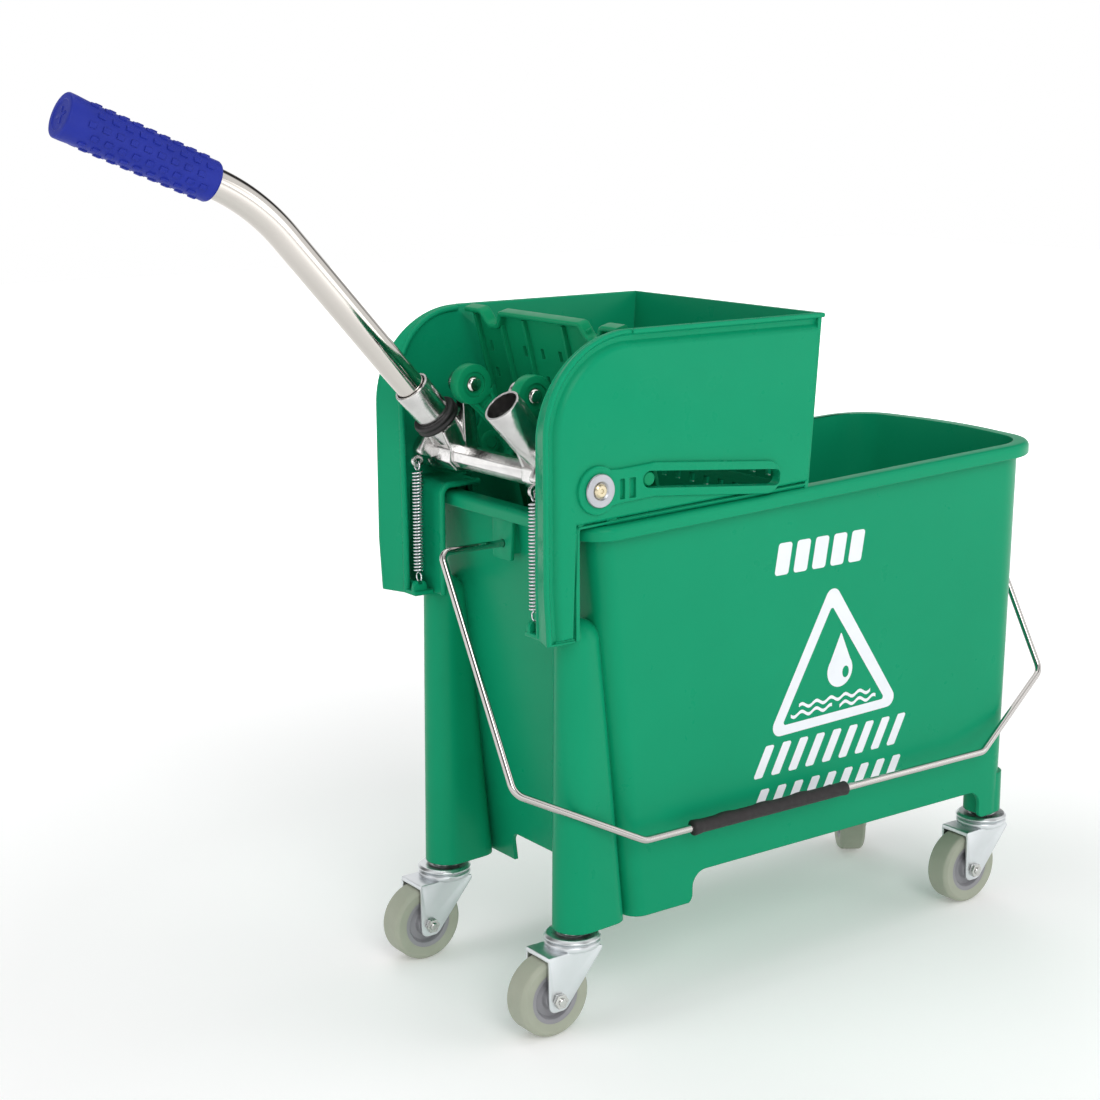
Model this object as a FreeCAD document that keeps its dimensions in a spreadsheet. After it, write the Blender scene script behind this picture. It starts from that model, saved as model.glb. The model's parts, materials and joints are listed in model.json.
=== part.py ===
"""A mop bucket on casters with a lever-operated press wringer.

Frame: +Z up, the floor at Z 0, +X along the bucket from the wringer end to the bowed nose,
-Y the side the carrying handle rests on. Lengths are millimetres, angles degrees.
Sub-parts are laid out from the middle of the caster rectangle; shift_x and shift_y then
carry all of them to the part's own origin, the middle of its footprint.
"""
import FreeCAD, Part
import math
import os

import Sketcher
from FreeCAD import Placement, Rotation, Vector

SIZES = {
    # whole part
    "shift_x": 121.985,
    "shift_y": 2.425,
    # tub
    "foot_level": 74.5,
    "arch_level": 98.0,
    "floor_level": 108.0,
    "floor_thick": 3.5,
    "tub_wall": 3.2,
    "low_end": -170.0,
    "low_nose": 226.0,
    "low_half_end": 99.0,
    "low_half_nose": 96.0,
    "low_round_end": 13.0,
    "low_round_nose": 18.0,
    "low_bow": 6.0,
    "top_end": -208.0,
    "top_nose": 243.0,
    "top_half_end": 106.0,
    "top_half_nose": 99.0,
    "top_round_end": 15.0,
    "top_round_nose": 36.0,
    "top_bow": 12.0,
    "rim_level": 376.0,
    "rim_tilt": 2.0,
    "rim_overhang": 9.0,
    "rim_drop": 10.0,
    "rim_sheet": 2.6,
    "column_x": -210.0,
    "column_y": 84.5,
    "column_radius": 17.0,
    "column_reach": 24.0,
    "column_web_radius": 15.0,
    "column_top_reach": 4.0,
    "column_top_radius": 15.0,
    "column_top_web": 14.0,
    "column_dome": 14.9,
    "column_top": 286.0,
    "column_core": 10.5,
    "column_core_depth": 190.0,
    "nose_post_radius": 15.0,
    "socket_bore": 13.5,
    "socket_depth": 28.0,
    # bail
    "bail_level": 340.0,
    "bail_half": 265.0,
    "bail_knee": 178.0,
    "bail_reach": 231.0,
    "bail_flat": 171.5,
    "bail_rest": 29.9,
    "bail_wire_radius": 2.75,
    "bail_grip_radius": 6.0,
    "bail_grip_length": 151.0,
    "bail_grip_start": -129.0,
    # casters
    "caster_rear_x": -213.0,
    "caster_rear_y": 84.5,
    "caster_nose_x": 211.0,
    "caster_nose_y": 80.0,
    "caster_trail": 22.0,
    "wheel_radius": 29.5,
    "wheel_half": 11.0,
    "core_radius": 19.5,
    "disc_radius": 21.0,
    "disc_level": 72.2,
    "crown_top": 67.9,
    "fork_half": 14.4,
    "fork_sheet": 2.2,
    "far_nose_swivel": 54.0,
    # wringer housing
    "pivot_x": -210.0,
    "pivot_z": 395.0,
    "cheek_half": 109.0,
    "cheek_sheet": 3.5,
    "cheek_left": -252.0,
    "cheek_top": 501.5,
    "cheek_right": -8.0,
    "arch_radius": 70.0,
    "leg_bottom": 291.0,
    "leg_right": -224.0,
    "flange_inner": 86.0,
    "flange_draft": 9.0,
    "basket_bottom": 262.0,
    "rim_inside_half": 98.6,
    "slide_slope": 5.5,
    "slot_half": 5.9,
    "slot_run": 116.0,
    "rib_half": 12.3,
    "rib_height": 3.0,
    "boss_radius": 17.0,
    "bush_radius": 8.0,
    # press plate and links
    "guide_x": -166.0,
    "guide_z": 398.0,
    "guide_radius": 5.0,
    "plate_lean": 14.7,
    "plate_half": 94.0,
    "plate_low_half": 86.0,
    "plate_sheet": 3.5,
    "plate_front": 20.0,
    "plate_top": 103.5,
    "plate_foot": -118.0,
    "link_end_x": -169.5,
    "link_end_z": 398.0,
    "crank_x": -213.0,
    "crank_z": 451.0,
    "crank_pin_radius": 6.0,
    "link_inner": 33.0,
    "link_thick": 11.0,
    "ear_radius": 15.0,
    "eye_radius": 12.5,
    "eye_bore": 9.8,
    "link_pin_radius": 3.0,
    # rocker and lever
    "bar_x": -217.0,
    "bar_z": 398.0,
    "bar_radius": 9.0,
    "rocker_half": 104.4,
    "socket_y": 58.0,
    "socket_base_x": -204.5,
    "socket_base_z": 397.0,
    "socket_slope": 48.4,
    "socket_mouth": 71.0,
    "socket_floor": 25.0,
    "socket_radius": 13.2,
    "socket_flare": 13.8,
    "socket_relief": 44.0,
    "relief_bore": 11.9,
    "neck_radius": 11.2,
    "neck_end": 36.0,
    "tube_radius": 11.0,
    "tube_wall": 1.8,
    "tube_straight": 192.2,
    "tube_bend_radius": 150.0,
    "tube_bend": 25.0,
    "tube_tail": 104.7,
    "grip_length": 113.0,
    "grip_radius": 14.6,
    "ring_radius": 17.8,
    "spring_y": 75.0,
    "spring_x": -237.0,
    "spring_top": 392.0,
    "spring_foot": 301.0,
    "spring_radius": 4.4,
    "spring_wire": 1.3,
    "hook_radius": 3.6,
    # fasteners
    "bolt_radius": 4.0,
    "washer_radius": 12.0,
    "axle_radius": 3.0,
    "running_gap": 0.05,
}

doc = FreeCAD.newDocument("mop_bucket_with_wringer")
sheet = doc.addObject("Spreadsheet::Sheet", "Sizes")
for row, (alias, number) in enumerate(SIZES.items(), start=1):
    sheet.set(f"A{row}", alias)
    sheet.set(f"B{row}", str(number))
    sheet.setAlias(f"B{row}", alias)
doc.recompute()


class Size:
    """A number worked out from the sheet, with the expression that keeps it bound to the sheet."""

    def __init__(self, number, text):
        self.number = float(number)
        self.text = text

    def __float__(self):
        return self.number

    def __add__(self, other):
        return Size(self.number + float(other), f"({self.text} + {text_of(other)})")

    def __radd__(self, other):
        return Size(float(other) + self.number, f"({text_of(other)} + {self.text})")

    def __sub__(self, other):
        return Size(self.number - float(other), f"({self.text} - {text_of(other)})")

    def __rsub__(self, other):
        return Size(float(other) - self.number, f"({text_of(other)} - {self.text})")

    def __mul__(self, other):
        return Size(self.number * float(other), f"({self.text} * {text_of(other)})")

    def __neg__(self):
        return Size(-self.number, f"(-{self.text})")


def text_of(value):
    """The expression text of a Size or a plain number."""
    return value.text if isinstance(value, Size) else repr(float(value))


class Sheet:
    """Reads a cell by its alias: size.tub_wall is a Size bound to that cell."""

    def __getattr__(self, alias):
        return Size(sheet.get(alias), f"Sizes.{alias}")


size = Sheet()


def num(alias):
    """A cell's plain number, for shapes that Part's own functions make."""
    return float(sheet.get(alias))


def bind(item, prop, value):
    """Sets a property and, where the value comes from the sheet, binds it there."""
    setattr(item, prop, float(value))
    if isinstance(value, Size):
        item.setExpression(prop, value.text)


# ---------------------------------------------------------------- frames and placements
X_AXIS = Vector(1, 0, 0)
Y_AXIS = Vector(0, 1, 0)
Z_AXIS = Vector(0, 0, 1)
SHIFT = Vector(num("shift_x"), num("shift_y"), 0)
SIDES = {"near": -1, "far": 1}
# Both crank lugs stand behind their link's ear, so both pins face the near side.
LUG_SPANS = {"near": (-32.0, -22.0), "far": (45.0, 55.0)}


def at(x, y, z, rotation=None):
    """A placement in the caster-rectangle frame, carried to the part's own origin."""
    return Placement(Vector(x, y, z) + SHIFT, rotation or Rotation())


def sideways(side):
    """Turns a piece made along Z so that its +Z points to the near (-Y) or far (+Y) side."""
    return Rotation(X_AXIS, -90 * side)


# ---------------------------------------------------------------- Part Design helpers
def new_body(label, placement):
    body = doc.addObject("PartDesign::Body", label)
    body.Label = label
    body.Placement = placement
    return body


def new_sketch(body, role):
    sketch = body.newObject("Sketcher::SketchObject", f"{body.Name}_sketch")
    plane = [item for item in body.Origin.OriginFeatures if item.Role == role][0]
    sketch.AttachmentSupport = [(plane, "")]
    sketch.MapMode = "FlatFace"
    return sketch


def pin_point(sketch, geo, vertex, u, v):
    """Holds a point at (u, v) from the sketch's origin, bound to the sheet where u or v is."""
    for kind, value, axis in (("DistanceX", u, -2), ("DistanceY", v, -1)):
        if abs(float(value)) < 1e-9:
            sketch.addConstraint(Sketcher.Constraint("PointOnObject", geo, vertex, axis))
            continue
        index = sketch.addConstraint(Sketcher.Constraint(kind, -1, 1, geo, vertex, float(value)))
        if isinstance(value, Size):
            sketch.setExpression(f"Constraints[{index}]", value.text)


def draw_polygon(sketch, points):
    first = sketch.GeometryCount
    count = len(points)
    flat = [Vector(float(u), float(v), 0) for u, v in points]
    for i in range(count):
        sketch.addGeometry(Part.LineSegment(flat[i], flat[(i + 1) % count]), False)
    for i in range(count):
        follower = first + (i + 1) % count
        sketch.addConstraint(Sketcher.Constraint("Coincident", first + i, 2, follower, 1))
    for i, (u, v) in enumerate(points):
        pin_point(sketch, first + i, 1, u, v)


def draw_circle(sketch, u, v, radius):
    centre = Vector(float(u), float(v), 0)
    geo = sketch.addGeometry(Part.Circle(centre, Z_AXIS, float(radius)), False)
    pin_point(sketch, geo, 3, u, v)
    index = sketch.addConstraint(Sketcher.Constraint("Radius", geo, float(radius)))
    if isinstance(radius, Size):
        sketch.setExpression(f"Constraints[{index}]", radius.text)


def pad(body, sketch, length, symmetric=False, reverse=False):
    feature = body.newObject("PartDesign::Pad", f"{body.Name}_pad")
    feature.Profile = sketch
    bind(feature, "Length", length)
    if symmetric:
        feature.SideType = "Symmetric"
    feature.Reversed = reverse
    return feature


def pocket(body, sketch, length):
    """Cuts a sketch's outline to both sides of its plane, and checks that it took material away."""
    doc.recompute()
    before = body.Shape.Volume
    feature = body.newObject("PartDesign::Pocket", f"{body.Name}_pocket")
    feature.Profile = sketch
    feature.SideType = "Symmetric"
    bind(feature, "Length", length)
    doc.recompute()
    if body.Shape.Volume >= before:
        raise RuntimeError(f"{body.Label}: a pocket cut nothing")
    return feature


def turned(label, profile, placement):
    """A piece of revolution about its own Z axis from (radius, height) points."""
    body = new_body(label, placement)
    sketch = new_sketch(body, "XZ_Plane")
    draw_polygon(sketch, profile)
    feature = body.newObject("PartDesign::Revolution", f"{label}_turn")
    feature.Profile = sketch
    feature.ReferenceAxis = (sketch, ["V_Axis"])
    feature.Angle = 360
    return body


def raise_sketch(sketch, height):
    """Moves a sketch along its plane's normal."""
    sketch.AttachmentOffset = Placement(Vector(0, 0, float(height)), Rotation())
    if isinstance(height, Size):
        sketch.setExpression("AttachmentOffset.Base.z", height.text)


# ---------------------------------------------------------------- Part primitives helpers
def cylinder(name, radius, height, placement):
    item = doc.addObject("Part::Cylinder", name)
    bind(item, "Radius", radius)
    bind(item, "Height", height)
    item.Placement = placement
    return item


def box(name, length, width, height, placement):
    item = doc.addObject("Part::Box", name)
    bind(item, "Length", length)
    bind(item, "Width", width)
    bind(item, "Height", height)
    item.Placement = placement
    return item


def torus(name, ring, wire, placement):
    item = doc.addObject("Part::Torus", name)
    bind(item, "Radius1", ring)
    bind(item, "Radius2", wire)
    item.Placement = placement
    return item


def cone(name, start, end, height, placement):
    item = doc.addObject("Part::Cone", name)
    bind(item, "Radius1", start)
    bind(item, "Radius2", end)
    bind(item, "Height", height)
    item.Placement = placement
    return item


def fused(name, items):
    item = doc.addObject("Part::MultiFuse", name)
    item.Shapes = items
    return item


def cut(name, base, tool):
    item = doc.addObject("Part::Cut", name)
    item.Base = base
    item.Tool = tool
    return item


def free_shape(label, shape):
    """A Part::Feature holding a shape drawn in the caster-rectangle frame."""
    item = doc.addObject("Part::Feature", label)
    item.Label = label
    item.Shape = shape
    item.Placement = at(0, 0, 0)
    return item


def prism(points, low, high):
    """A polygon of (x, z) points carried from y = low to y = high."""
    corners = [Vector(x, low, z) for x, z in points]
    return Part.Face(Part.makePolygon(corners + corners[:1])).extrude(Vector(0, high - low, 0))


def block(x0, x1, y0, y1, z0, z1):
    return Part.makeBox(x1 - x0, y1 - y0, z1 - z0, Vector(x0, y0, z0))


def rod_y(x, z, radius, low, high):
    """A cylinder along Y through (x, z)."""
    return Part.makeCylinder(radius, high - low, Vector(x, low, z), Y_AXIS)


def both_sides(shape):
    """The shape with its mirror image across the XZ plane."""
    return [shape, shape.mirror(Vector(), Y_AXIS)]


# ---------------------------------------------------------------- tub
def tub_outline(stage, offset=0.0):
    """The tub's plan at its foot ("low") or rim ("top"), pushed outwards by offset."""
    end = num(f"{stage}_end") - offset
    nose = num(f"{stage}_nose") + offset
    half_end = num(f"{stage}_half_end") + offset
    half_nose = num(f"{stage}_half_nose") + offset
    shoulder = nose - num(f"{stage}_bow")
    rounds = {end: num(f"{stage}_round_end") + offset, shoulder: num(f"{stage}_round_nose") + offset}
    corners = [
        Vector(end, -half_end, 0),
        Vector(shoulder, -half_nose, 0),
        Vector(shoulder, half_nose, 0),
        Vector(end, half_end, 0),
    ]
    edges = [
        Part.makeLine(corners[0], corners[1]),
        Part.Arc(corners[1], Vector(nose, 0, 0), corners[2]).toShape(),
        Part.makeLine(corners[2], corners[3]),
        Part.makeLine(corners[3], corners[0]),
    ]
    solid = Part.Face(Part.Wire(edges)).extrude(Z_AXIS)
    for corner_x, radius in rounds.items():
        upright = [
            edge
            for edge in solid.Edges
            if len(edge.Vertexes) == 2
            and abs(edge.Vertexes[0].Point.z - edge.Vertexes[1].Point.z) > 0.5
            and abs(edge.Vertexes[0].Point.x - corner_x) < 1e-6
        ]
        solid = solid.makeFillet(radius, upright)
    return min(solid.Faces, key=lambda face: face.CenterOfMass.z).OuterWire


def tilted(shape):
    """Carries a shape drawn flat at Z 0 onto the rim's plane, which rises towards the nose."""
    moved = shape.copy()
    moved.rotate(Vector(), Y_AXIS, -num("rim_tilt"))
    moved.translate(Vector(0, 0, num("rim_level")))
    return moved


def tub_loft(offset):
    low = tub_outline("low", offset)
    low.translate(Vector(0, 0, num("foot_level")))
    return Part.makeLoft([low, tilted(tub_outline("top", offset))], True, True)


def rim_ring():
    """The rolled rim: a flat lip turned down at its outer edge, hollow underneath."""
    over = num("rim_overhang")
    drop = num("rim_drop")
    skin = num("rim_sheet")
    outer = Part.Face(tub_outline("top", over)).extrude(Vector(0, 0, -drop))
    top_edges = [e for e in outer.Edges if all(abs(v.Point.z) < 1e-6 for v in e.Vertexes)]
    outer = outer.makeFillet(2.5, top_edges)
    wall = Part.Face(tub_outline("top")).extrude(Vector(0, 0, -drop))
    mouth = Part.Face(tub_outline("top", -num("tub_wall"))).extrude(Vector(0, 0, -drop))
    hollow = Part.Face(tub_outline("top", over - skin)).extrude(Vector(0, 0, -drop))
    hollow.translate(Vector(0, 0, -skin))
    groove = hollow.cut(wall)
    return tilted(outer.cut(groove).cut(mouth))


def column(side):
    """A half-round column at the wringer end, wider at its foot, with a domed top."""
    x = num("column_x")
    y = num("column_y") * side
    radius = num("column_radius")
    foot = num("foot_level")
    top = num("column_top")
    foot_section = (foot, num("column_reach"), radius, num("column_web_radius"))
    top_section = (top, num("column_top_reach"), num("column_top_radius"), num("column_top_web"))
    wires = []
    for level, reach, r_post, r_web in (foot_section, top_section):
        lean = math.asin((r_post - r_web) / reach)
        up = Vector(math.sin(lean), math.cos(lean), 0)
        down = Vector(up.x, -up.y, 0)
        post_mid = Vector(x, y, level)
        web_mid = Vector(x + reach, y, level)
        back = Part.Arc(post_mid + up * r_post, post_mid - X_AXIS * r_post, post_mid + down * r_post)
        front = Part.Arc(web_mid + down * r_web, web_mid + X_AXIS * r_web, web_mid + up * r_web)
        lower = Part.makeLine(post_mid + down * r_post, web_mid + down * r_web)
        upper = Part.makeLine(web_mid + up * r_web, post_mid + up * r_post)
        wires.append(Part.Wire([back.toShape(), lower, front.toShape(), upper]))
    shaft = Part.makeLoft(wires, True, True)
    dome = Part.makeSphere(num("column_dome"), Vector(x + 1.0, y, top - 0.5))
    return shaft.fuse(dome)


def arch(axis, low, high, reach):
    """A cutter for the skirt's arch, round at its two upper corners."""
    level = num("arch_level")
    under = num("foot_level") - 5
    if axis == "y":
        solid = block(low, high, -reach, reach, under, level)
        corners = [e for e in solid.Edges if all(abs(v.Point.z - level) < 1e-6 for v in e.Vertexes)]
        corners = [e for e in corners if abs(e.Vertexes[0].Point.x - e.Vertexes[1].Point.x) < 1e-6]
        return solid.makeFillet(18.0, corners)
    solid = block(low, high, -reach, reach, under, level)
    corners = [e for e in solid.Edges if all(abs(v.Point.z - level) < 1e-6 for v in e.Vertexes)]
    corners = [e for e in corners if abs(e.Vertexes[0].Point.y - e.Vertexes[1].Point.y) < 1e-6]
    return solid.makeFillet(8.0, corners)


def make_tub():
    outside = tub_loft(0.0)
    inside = tub_loft(-num("tub_wall"))
    foot = num("foot_level")
    floor = inside.common(
        block(-300, 300, -150, 150, num("floor_level"), num("floor_level") + num("floor_thick"))
    )
    shell = outside
    for side in (-1, 1):
        shell = shell.fuse(column(side))
    level = num("bail_level")
    rear_bracket = block(num("column_x") - 3, -195, -13, 13, level - 11, level + 20)
    nose_bracket = block(225, 256, -13, 13, level - 11, level + 24)
    shell = shell.fuse([rear_bracket, nose_bracket])
    shell = shell.cut(inside)
    posts = [
        Part.makeCylinder(
            num("nose_post_radius"),
            num("floor_level") - foot,
            Vector(num("caster_nose_x"), num("caster_nose_y") * side, foot),
        )
        for side in (-1, 1)
    ]
    shell = shell.fuse(posts + [floor, rim_ring()])
    bore = num("socket_bore")
    tools = [arch("y", -116, 187, 140), arch("x", -190, -160, 52), arch("x", 200, 240, 58)]
    for side in (-1, 1):
        rear = Vector(num("caster_rear_x") + 1.0, num("caster_rear_y") * side, foot)
        nose = Vector(num("caster_nose_x"), num("caster_nose_y") * side, foot)
        tools.append(Part.makeCylinder(bore, num("socket_depth") + 1.0, rear))
        tools.append(Part.makeCylinder(num("column_core"), num("column_core_depth"), rear))
        tools.append(Part.makeCylinder(bore, num("socket_depth") + 1.0, nose))
    wire = num("bail_wire_radius") + num("running_gap")
    tools.append(Part.makeCylinder(wire, 10.0, Vector(-216, 0, level), X_AXIS))
    tools.append(Part.makeCylinder(wire, 12.0, Vector(246, 0, level), X_AXIS))
    shell = shell.cut(tools).removeSplitter()
    return free_shape("bucket_tub", shell)


def caster_places():
    """Name, swivel axis x and y, and rest swivel angle of each caster."""
    rear = (num("caster_rear_x"), num("caster_rear_y"))
    nose = (num("caster_nose_x"), num("caster_nose_y"))
    return [
        ("rear_near", rear[0], -rear[1], 0.0),
        ("rear_far", rear[0], rear[1], 0.0),
        ("nose_near", nose[0], -nose[1], 0.0),
        ("nose_far", nose[0], nose[1], num("far_nose_swivel")),
    ]


def make_caster_sockets():
    """Four plastic sockets in the feet; the stems screw into them."""
    solids = []
    for name, x, y, _ in caster_places():
        centre = Vector(x + (1.0 if name.startswith("rear") else 0.0), y, num("foot_level"))
        plug = Part.makeCylinder(num("socket_bore") - num("running_gap"), num("socket_depth"), centre)
        hole = Part.makeCylinder(5.0, num("socket_depth") + 2, Vector(x, y, centre.z - 1))
        solids.append(plug.cut(hole))
    return free_shape("caster_sockets", Part.makeCompound(solids))


# ---------------------------------------------------------------- bail
def rounded_path(points, radii):
    """Straight runs joined by tangent arcs; radii belong to the inner points."""
    edges = []
    start = points[0]
    for before, corner, after, radius in zip(points, points[1:], points[2:], radii):
        back = (before - corner).normalize()
        ahead = (after - corner).normalize()
        half = back.getAngle(ahead) / 2
        reach = radius / math.tan(half)
        enter = corner + back * reach
        leave = corner + ahead * reach
        bisector = (back + ahead).normalize()
        middle = corner + bisector * (radius / math.sin(half) - radius)
        edges.append(Part.makeLine(start, enter))
        edges.append(Part.Arc(enter, middle, leave).toShape())
        start = leave
    edges.append(Part.makeLine(start, points[-1]))
    return Part.Wire(edges)


def make_bail():
    """The wire hangs from two brackets and leans against the near side; the sleeve is on its run."""
    half = num("bail_half")
    knee = -num("bail_knee")
    reach = -num("bail_reach")
    flat = num("bail_flat")
    points = [
        Vector(-207, 0, 0),
        Vector(-half, 0, 0),
        Vector(-half, 0, knee),
        Vector(-flat, 0, reach),
        Vector(flat, 0, reach),
        Vector(half, 0, knee),
        Vector(half, 0, 0),
        Vector(247, 0, 0),
    ]
    spine = doc.addObject("Part::Feature", "bail_spine")
    spine.Shape = rounded_path(points, [7, 12, 14, 14, 12, 7])
    section = doc.addObject("Part::Circle", "bail_section")
    bind(section, "Radius", size.bail_wire_radius)
    section.Placement = Placement(points[0], Rotation(Z_AXIS, X_AXIS * -1))
    wire = doc.addObject("Part::Sweep", "bail_wire")
    wire.Label = "bail_wire"
    wire.Sections = [section]
    doc.recompute()
    wire.Spine = (spine, [f"Edge{i + 1}" for i in range(len(spine.Shape.Edges))])
    wire.Solid = True
    wire.Frenet = False
    lean = Rotation(X_AXIS, -num("bail_rest"))
    wire.Placement = at(0, 0, num("bail_level"), lean)
    along = lean.multiply(Rotation(Z_AXIS, X_AXIS))
    foot = lean.multVec(Vector(num("bail_grip_start"), 0, reach))
    inner = size.bail_wire_radius + size.running_gap
    outer = size.bail_grip_radius
    length = size.bail_grip_length
    profile = [
        (inner, 0),
        (outer - 1, 0),
        (outer, 2),
        (outer, length - 2),
        (outer - 1, length),
        (inner, length),
    ]
    grip = turned("bail_grip", profile, at(foot.x, foot.y, foot.z + num("bail_level"), along))
    return [wire, grip]


# ---------------------------------------------------------------- casters
def make_fork(label, placement):
    """Crown, web and two legs that taper to the axle."""
    trail = -size.caster_trail
    axle = size.wheel_radius
    half = size.fork_half
    inner_half = half - size.fork_sheet
    body = new_body(label, placement)
    side_view = new_sketch(body, "XZ_Plane")
    draw_polygon(
        side_view,
        [
            (trail - 9, 62.5),
            (trail - 9, axle),
            (trail, axle),
            (trail + 6.8, axle - 5.9),
            (16, 59.5),
            (16, 62.5),
        ],
    )
    pad(body, side_view, half * 2, symmetric=True)
    eye = new_sketch(body, "XZ_Plane")
    draw_circle(eye, trail, axle, 9)
    pad(body, eye, half * 2, symmetric=True)
    gap = new_sketch(body, "XZ_Plane")
    draw_polygon(gap, [(-60, 5), (40, 5), (40, 60.5), (-60, 60.5)])
    pocket(body, gap, inner_half * 2)
    crown = new_sketch(body, "XZ_Plane")
    top = size.crown_top
    king = 4 + size.running_gap
    draw_polygon(crown, [(king, 62), (19, 62), (20.5, 64), (20.5, 66), (18.5, top), (king, top)])
    turn = body.newObject("PartDesign::Revolution", f"{label}_crown")
    turn.Profile = crown
    turn.ReferenceAxis = (crown, ["V_Axis"])
    turn.Angle = 360
    hole = new_sketch(body, "XZ_Plane")
    draw_circle(hole, trail, axle, size.axle_radius + size.running_gap)
    pocket(body, hole, 60)
    well = new_sketch(body, "XY_Plane")
    draw_circle(well, 0, 0, king)
    pocket(body, well, 200)
    return body


def make_nut(label, placement):
    """A hexagon nut on the axle bolt."""
    body = new_body(label, placement)
    sketch = new_sketch(body, "XY_Plane")
    across = 10.0
    corner = across / math.sqrt(3)
    turns = [math.radians(60 * i) for i in range(6)]
    draw_polygon(sketch, [(corner * math.cos(t), corner * math.sin(t)) for t in turns])
    draw_circle(sketch, 0, 0, size.axle_radius + size.running_gap)
    pad(body, sketch, 4)
    return body


def make_caster(name, x, y, swivel):
    """One caster: a fixed stem, a swivelling fork, a wheel and its axle."""
    turn = Rotation(Z_AXIS, swivel)
    foot = at(x, y, 0, turn)
    level = size.disc_level
    radius = size.disc_radius
    stem = turned(
        f"caster_stem_{name}",
        [
            (0, 57.8),
            (6.5, 57.8),
            (6.5, 60.3),
            (4, 60.3),
            (4, 68.2),
            (radius, 68.2),
            (radius, 70),
            (radius - 4, level),
            (8, level),
            (8, size.foot_level - 0.1),
            (4.95, size.foot_level - 0.1),
            (4.95, 100),
            (0, 100),
        ],
        foot,
    )
    fork = make_fork(f"caster_fork_{name}", foot)
    axle = foot.multiply(
        Placement(Vector(-num("caster_trail"), 0, num("wheel_radius")), Rotation(X_AXIS, -90))
    )
    wheel = size.wheel_radius
    half = size.wheel_half
    core = size.core_radius
    hub = 5 + size.running_gap
    tyre = turned(
        f"caster_tyre_{name}",
        [
            (core, -(half - 1)),
            (wheel - 3, -half),
            (wheel - 1, -(half - 1.2)),
            (wheel, -(half - 4)),
            (wheel, half - 4),
            (wheel - 1, half - 1.2),
            (wheel - 3, half),
            (core, half - 1),
        ],
        axle,
    )
    centre = turned(
        f"caster_core_{name}",
        [
            (hub, -11.6),
            (9, -11.6),
            (9, -6),
            (16, -5),
            (17, -9.5),
            (core, -9.5),
            (core, 9.5),
            (17, 9.5),
            (16, 5),
            (9, 6),
            (9, 11.6),
            (hub, 11.6),
        ],
        axle,
    )
    sleeve = size.axle_radius + size.running_gap
    bush = turned(f"caster_bush_{name}", [(sleeve, -12), (5, -12), (5, 12), (sleeve, 12)], axle)
    shaft = size.axle_radius
    seat = size.fork_half + 0.1
    bolt = turned(
        f"caster_bolt_{name}",
        [
            (0, -20),
            (shaft - 0.8, -20),
            (shaft, -19.2),
            (shaft, seat),
            (6.2, seat),
            (6.2, seat + 2.4),
            (4, seat + 4),
            (0, seat + 4.2),
        ],
        axle,
    )
    nut = make_nut(
        f"caster_nut_{name}", axle.multiply(Placement(Vector(0, 0, -(14.5 + 4)), Rotation()))
    )
    return [stem, fork, tyre, centre, bush, bolt, nut]


# ---------------------------------------------------------------- wringer housing
def cheek_wire(y, inset, lift=0.0):
    """The cheek's outline in the plane y: leg, arch, top edge, front corner and rim edge."""
    left = num("cheek_left") + inset
    right = num("cheek_right")
    top = num("cheek_top") - inset * 0.5
    centre_x = num("cheek_left") + num("arch_radius")
    centre_z = num("cheek_top") - num("arch_radius")
    wide = centre_x - left
    tall = top - centre_z
    slant = math.tan(math.radians(num("rim_tilt")))
    rim = num("rim_level") + 0.5 + lift
    leg_right = num("leg_right") - lift
    bottom = num("leg_bottom") + lift
    points = [
        (leg_right - 3, bottom),
        (left + 12 - inset * 0.6, bottom),
        (left, 330),
        (left, centre_z),
    ]
    edges = []
    corners = [Vector(x, y, z) for x, z in points]
    for a, b in zip(corners, corners[1:]):
        edges.append(Part.makeLine(a, b))
    crown = Vector(centre_x, y, top)
    elbow = Vector(centre_x - wide * math.sqrt(0.5), y, centre_z + tall * math.sqrt(0.5))
    edges.append(Part.Arc(corners[-1], elbow, crown).toShape())
    rest = [
        (right - lift, num("cheek_top") - inset * 0.5),
        (right - 10 - lift, rim + slant * (right - 10)),
        (leg_right, rim + slant * leg_right),
        points[0],
    ]
    last = crown
    for x, z in rest:
        step = Vector(x, y, z)
        edges.append(Part.makeLine(last, step))
        last = step
    return Part.Wire(edges)


def slot_line(distance, rise=0.0):
    """A point (x, z) along the guide slot's centre line, which slopes down towards the nose."""
    slope = math.radians(num("slide_slope"))
    x = num("guide_x") + distance * math.cos(slope) + rise * math.sin(slope)
    z = num("guide_z") - distance * math.sin(slope) + rise * math.cos(slope)
    return x, z


def long_hole(start, run, radius, low, high):
    """A round-ended bar along the slot's centre line."""
    first = slot_line(start)
    last = slot_line(start + run)
    sides = [slot_line(start, radius), slot_line(start + run, radius)]
    sides += [slot_line(start + run, -radius), slot_line(start, -radius)]
    return prism(sides, low, high).fuse(
        [rod_y(*first, radius, low, high), rod_y(*last, radius, low, high)]
    )


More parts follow.
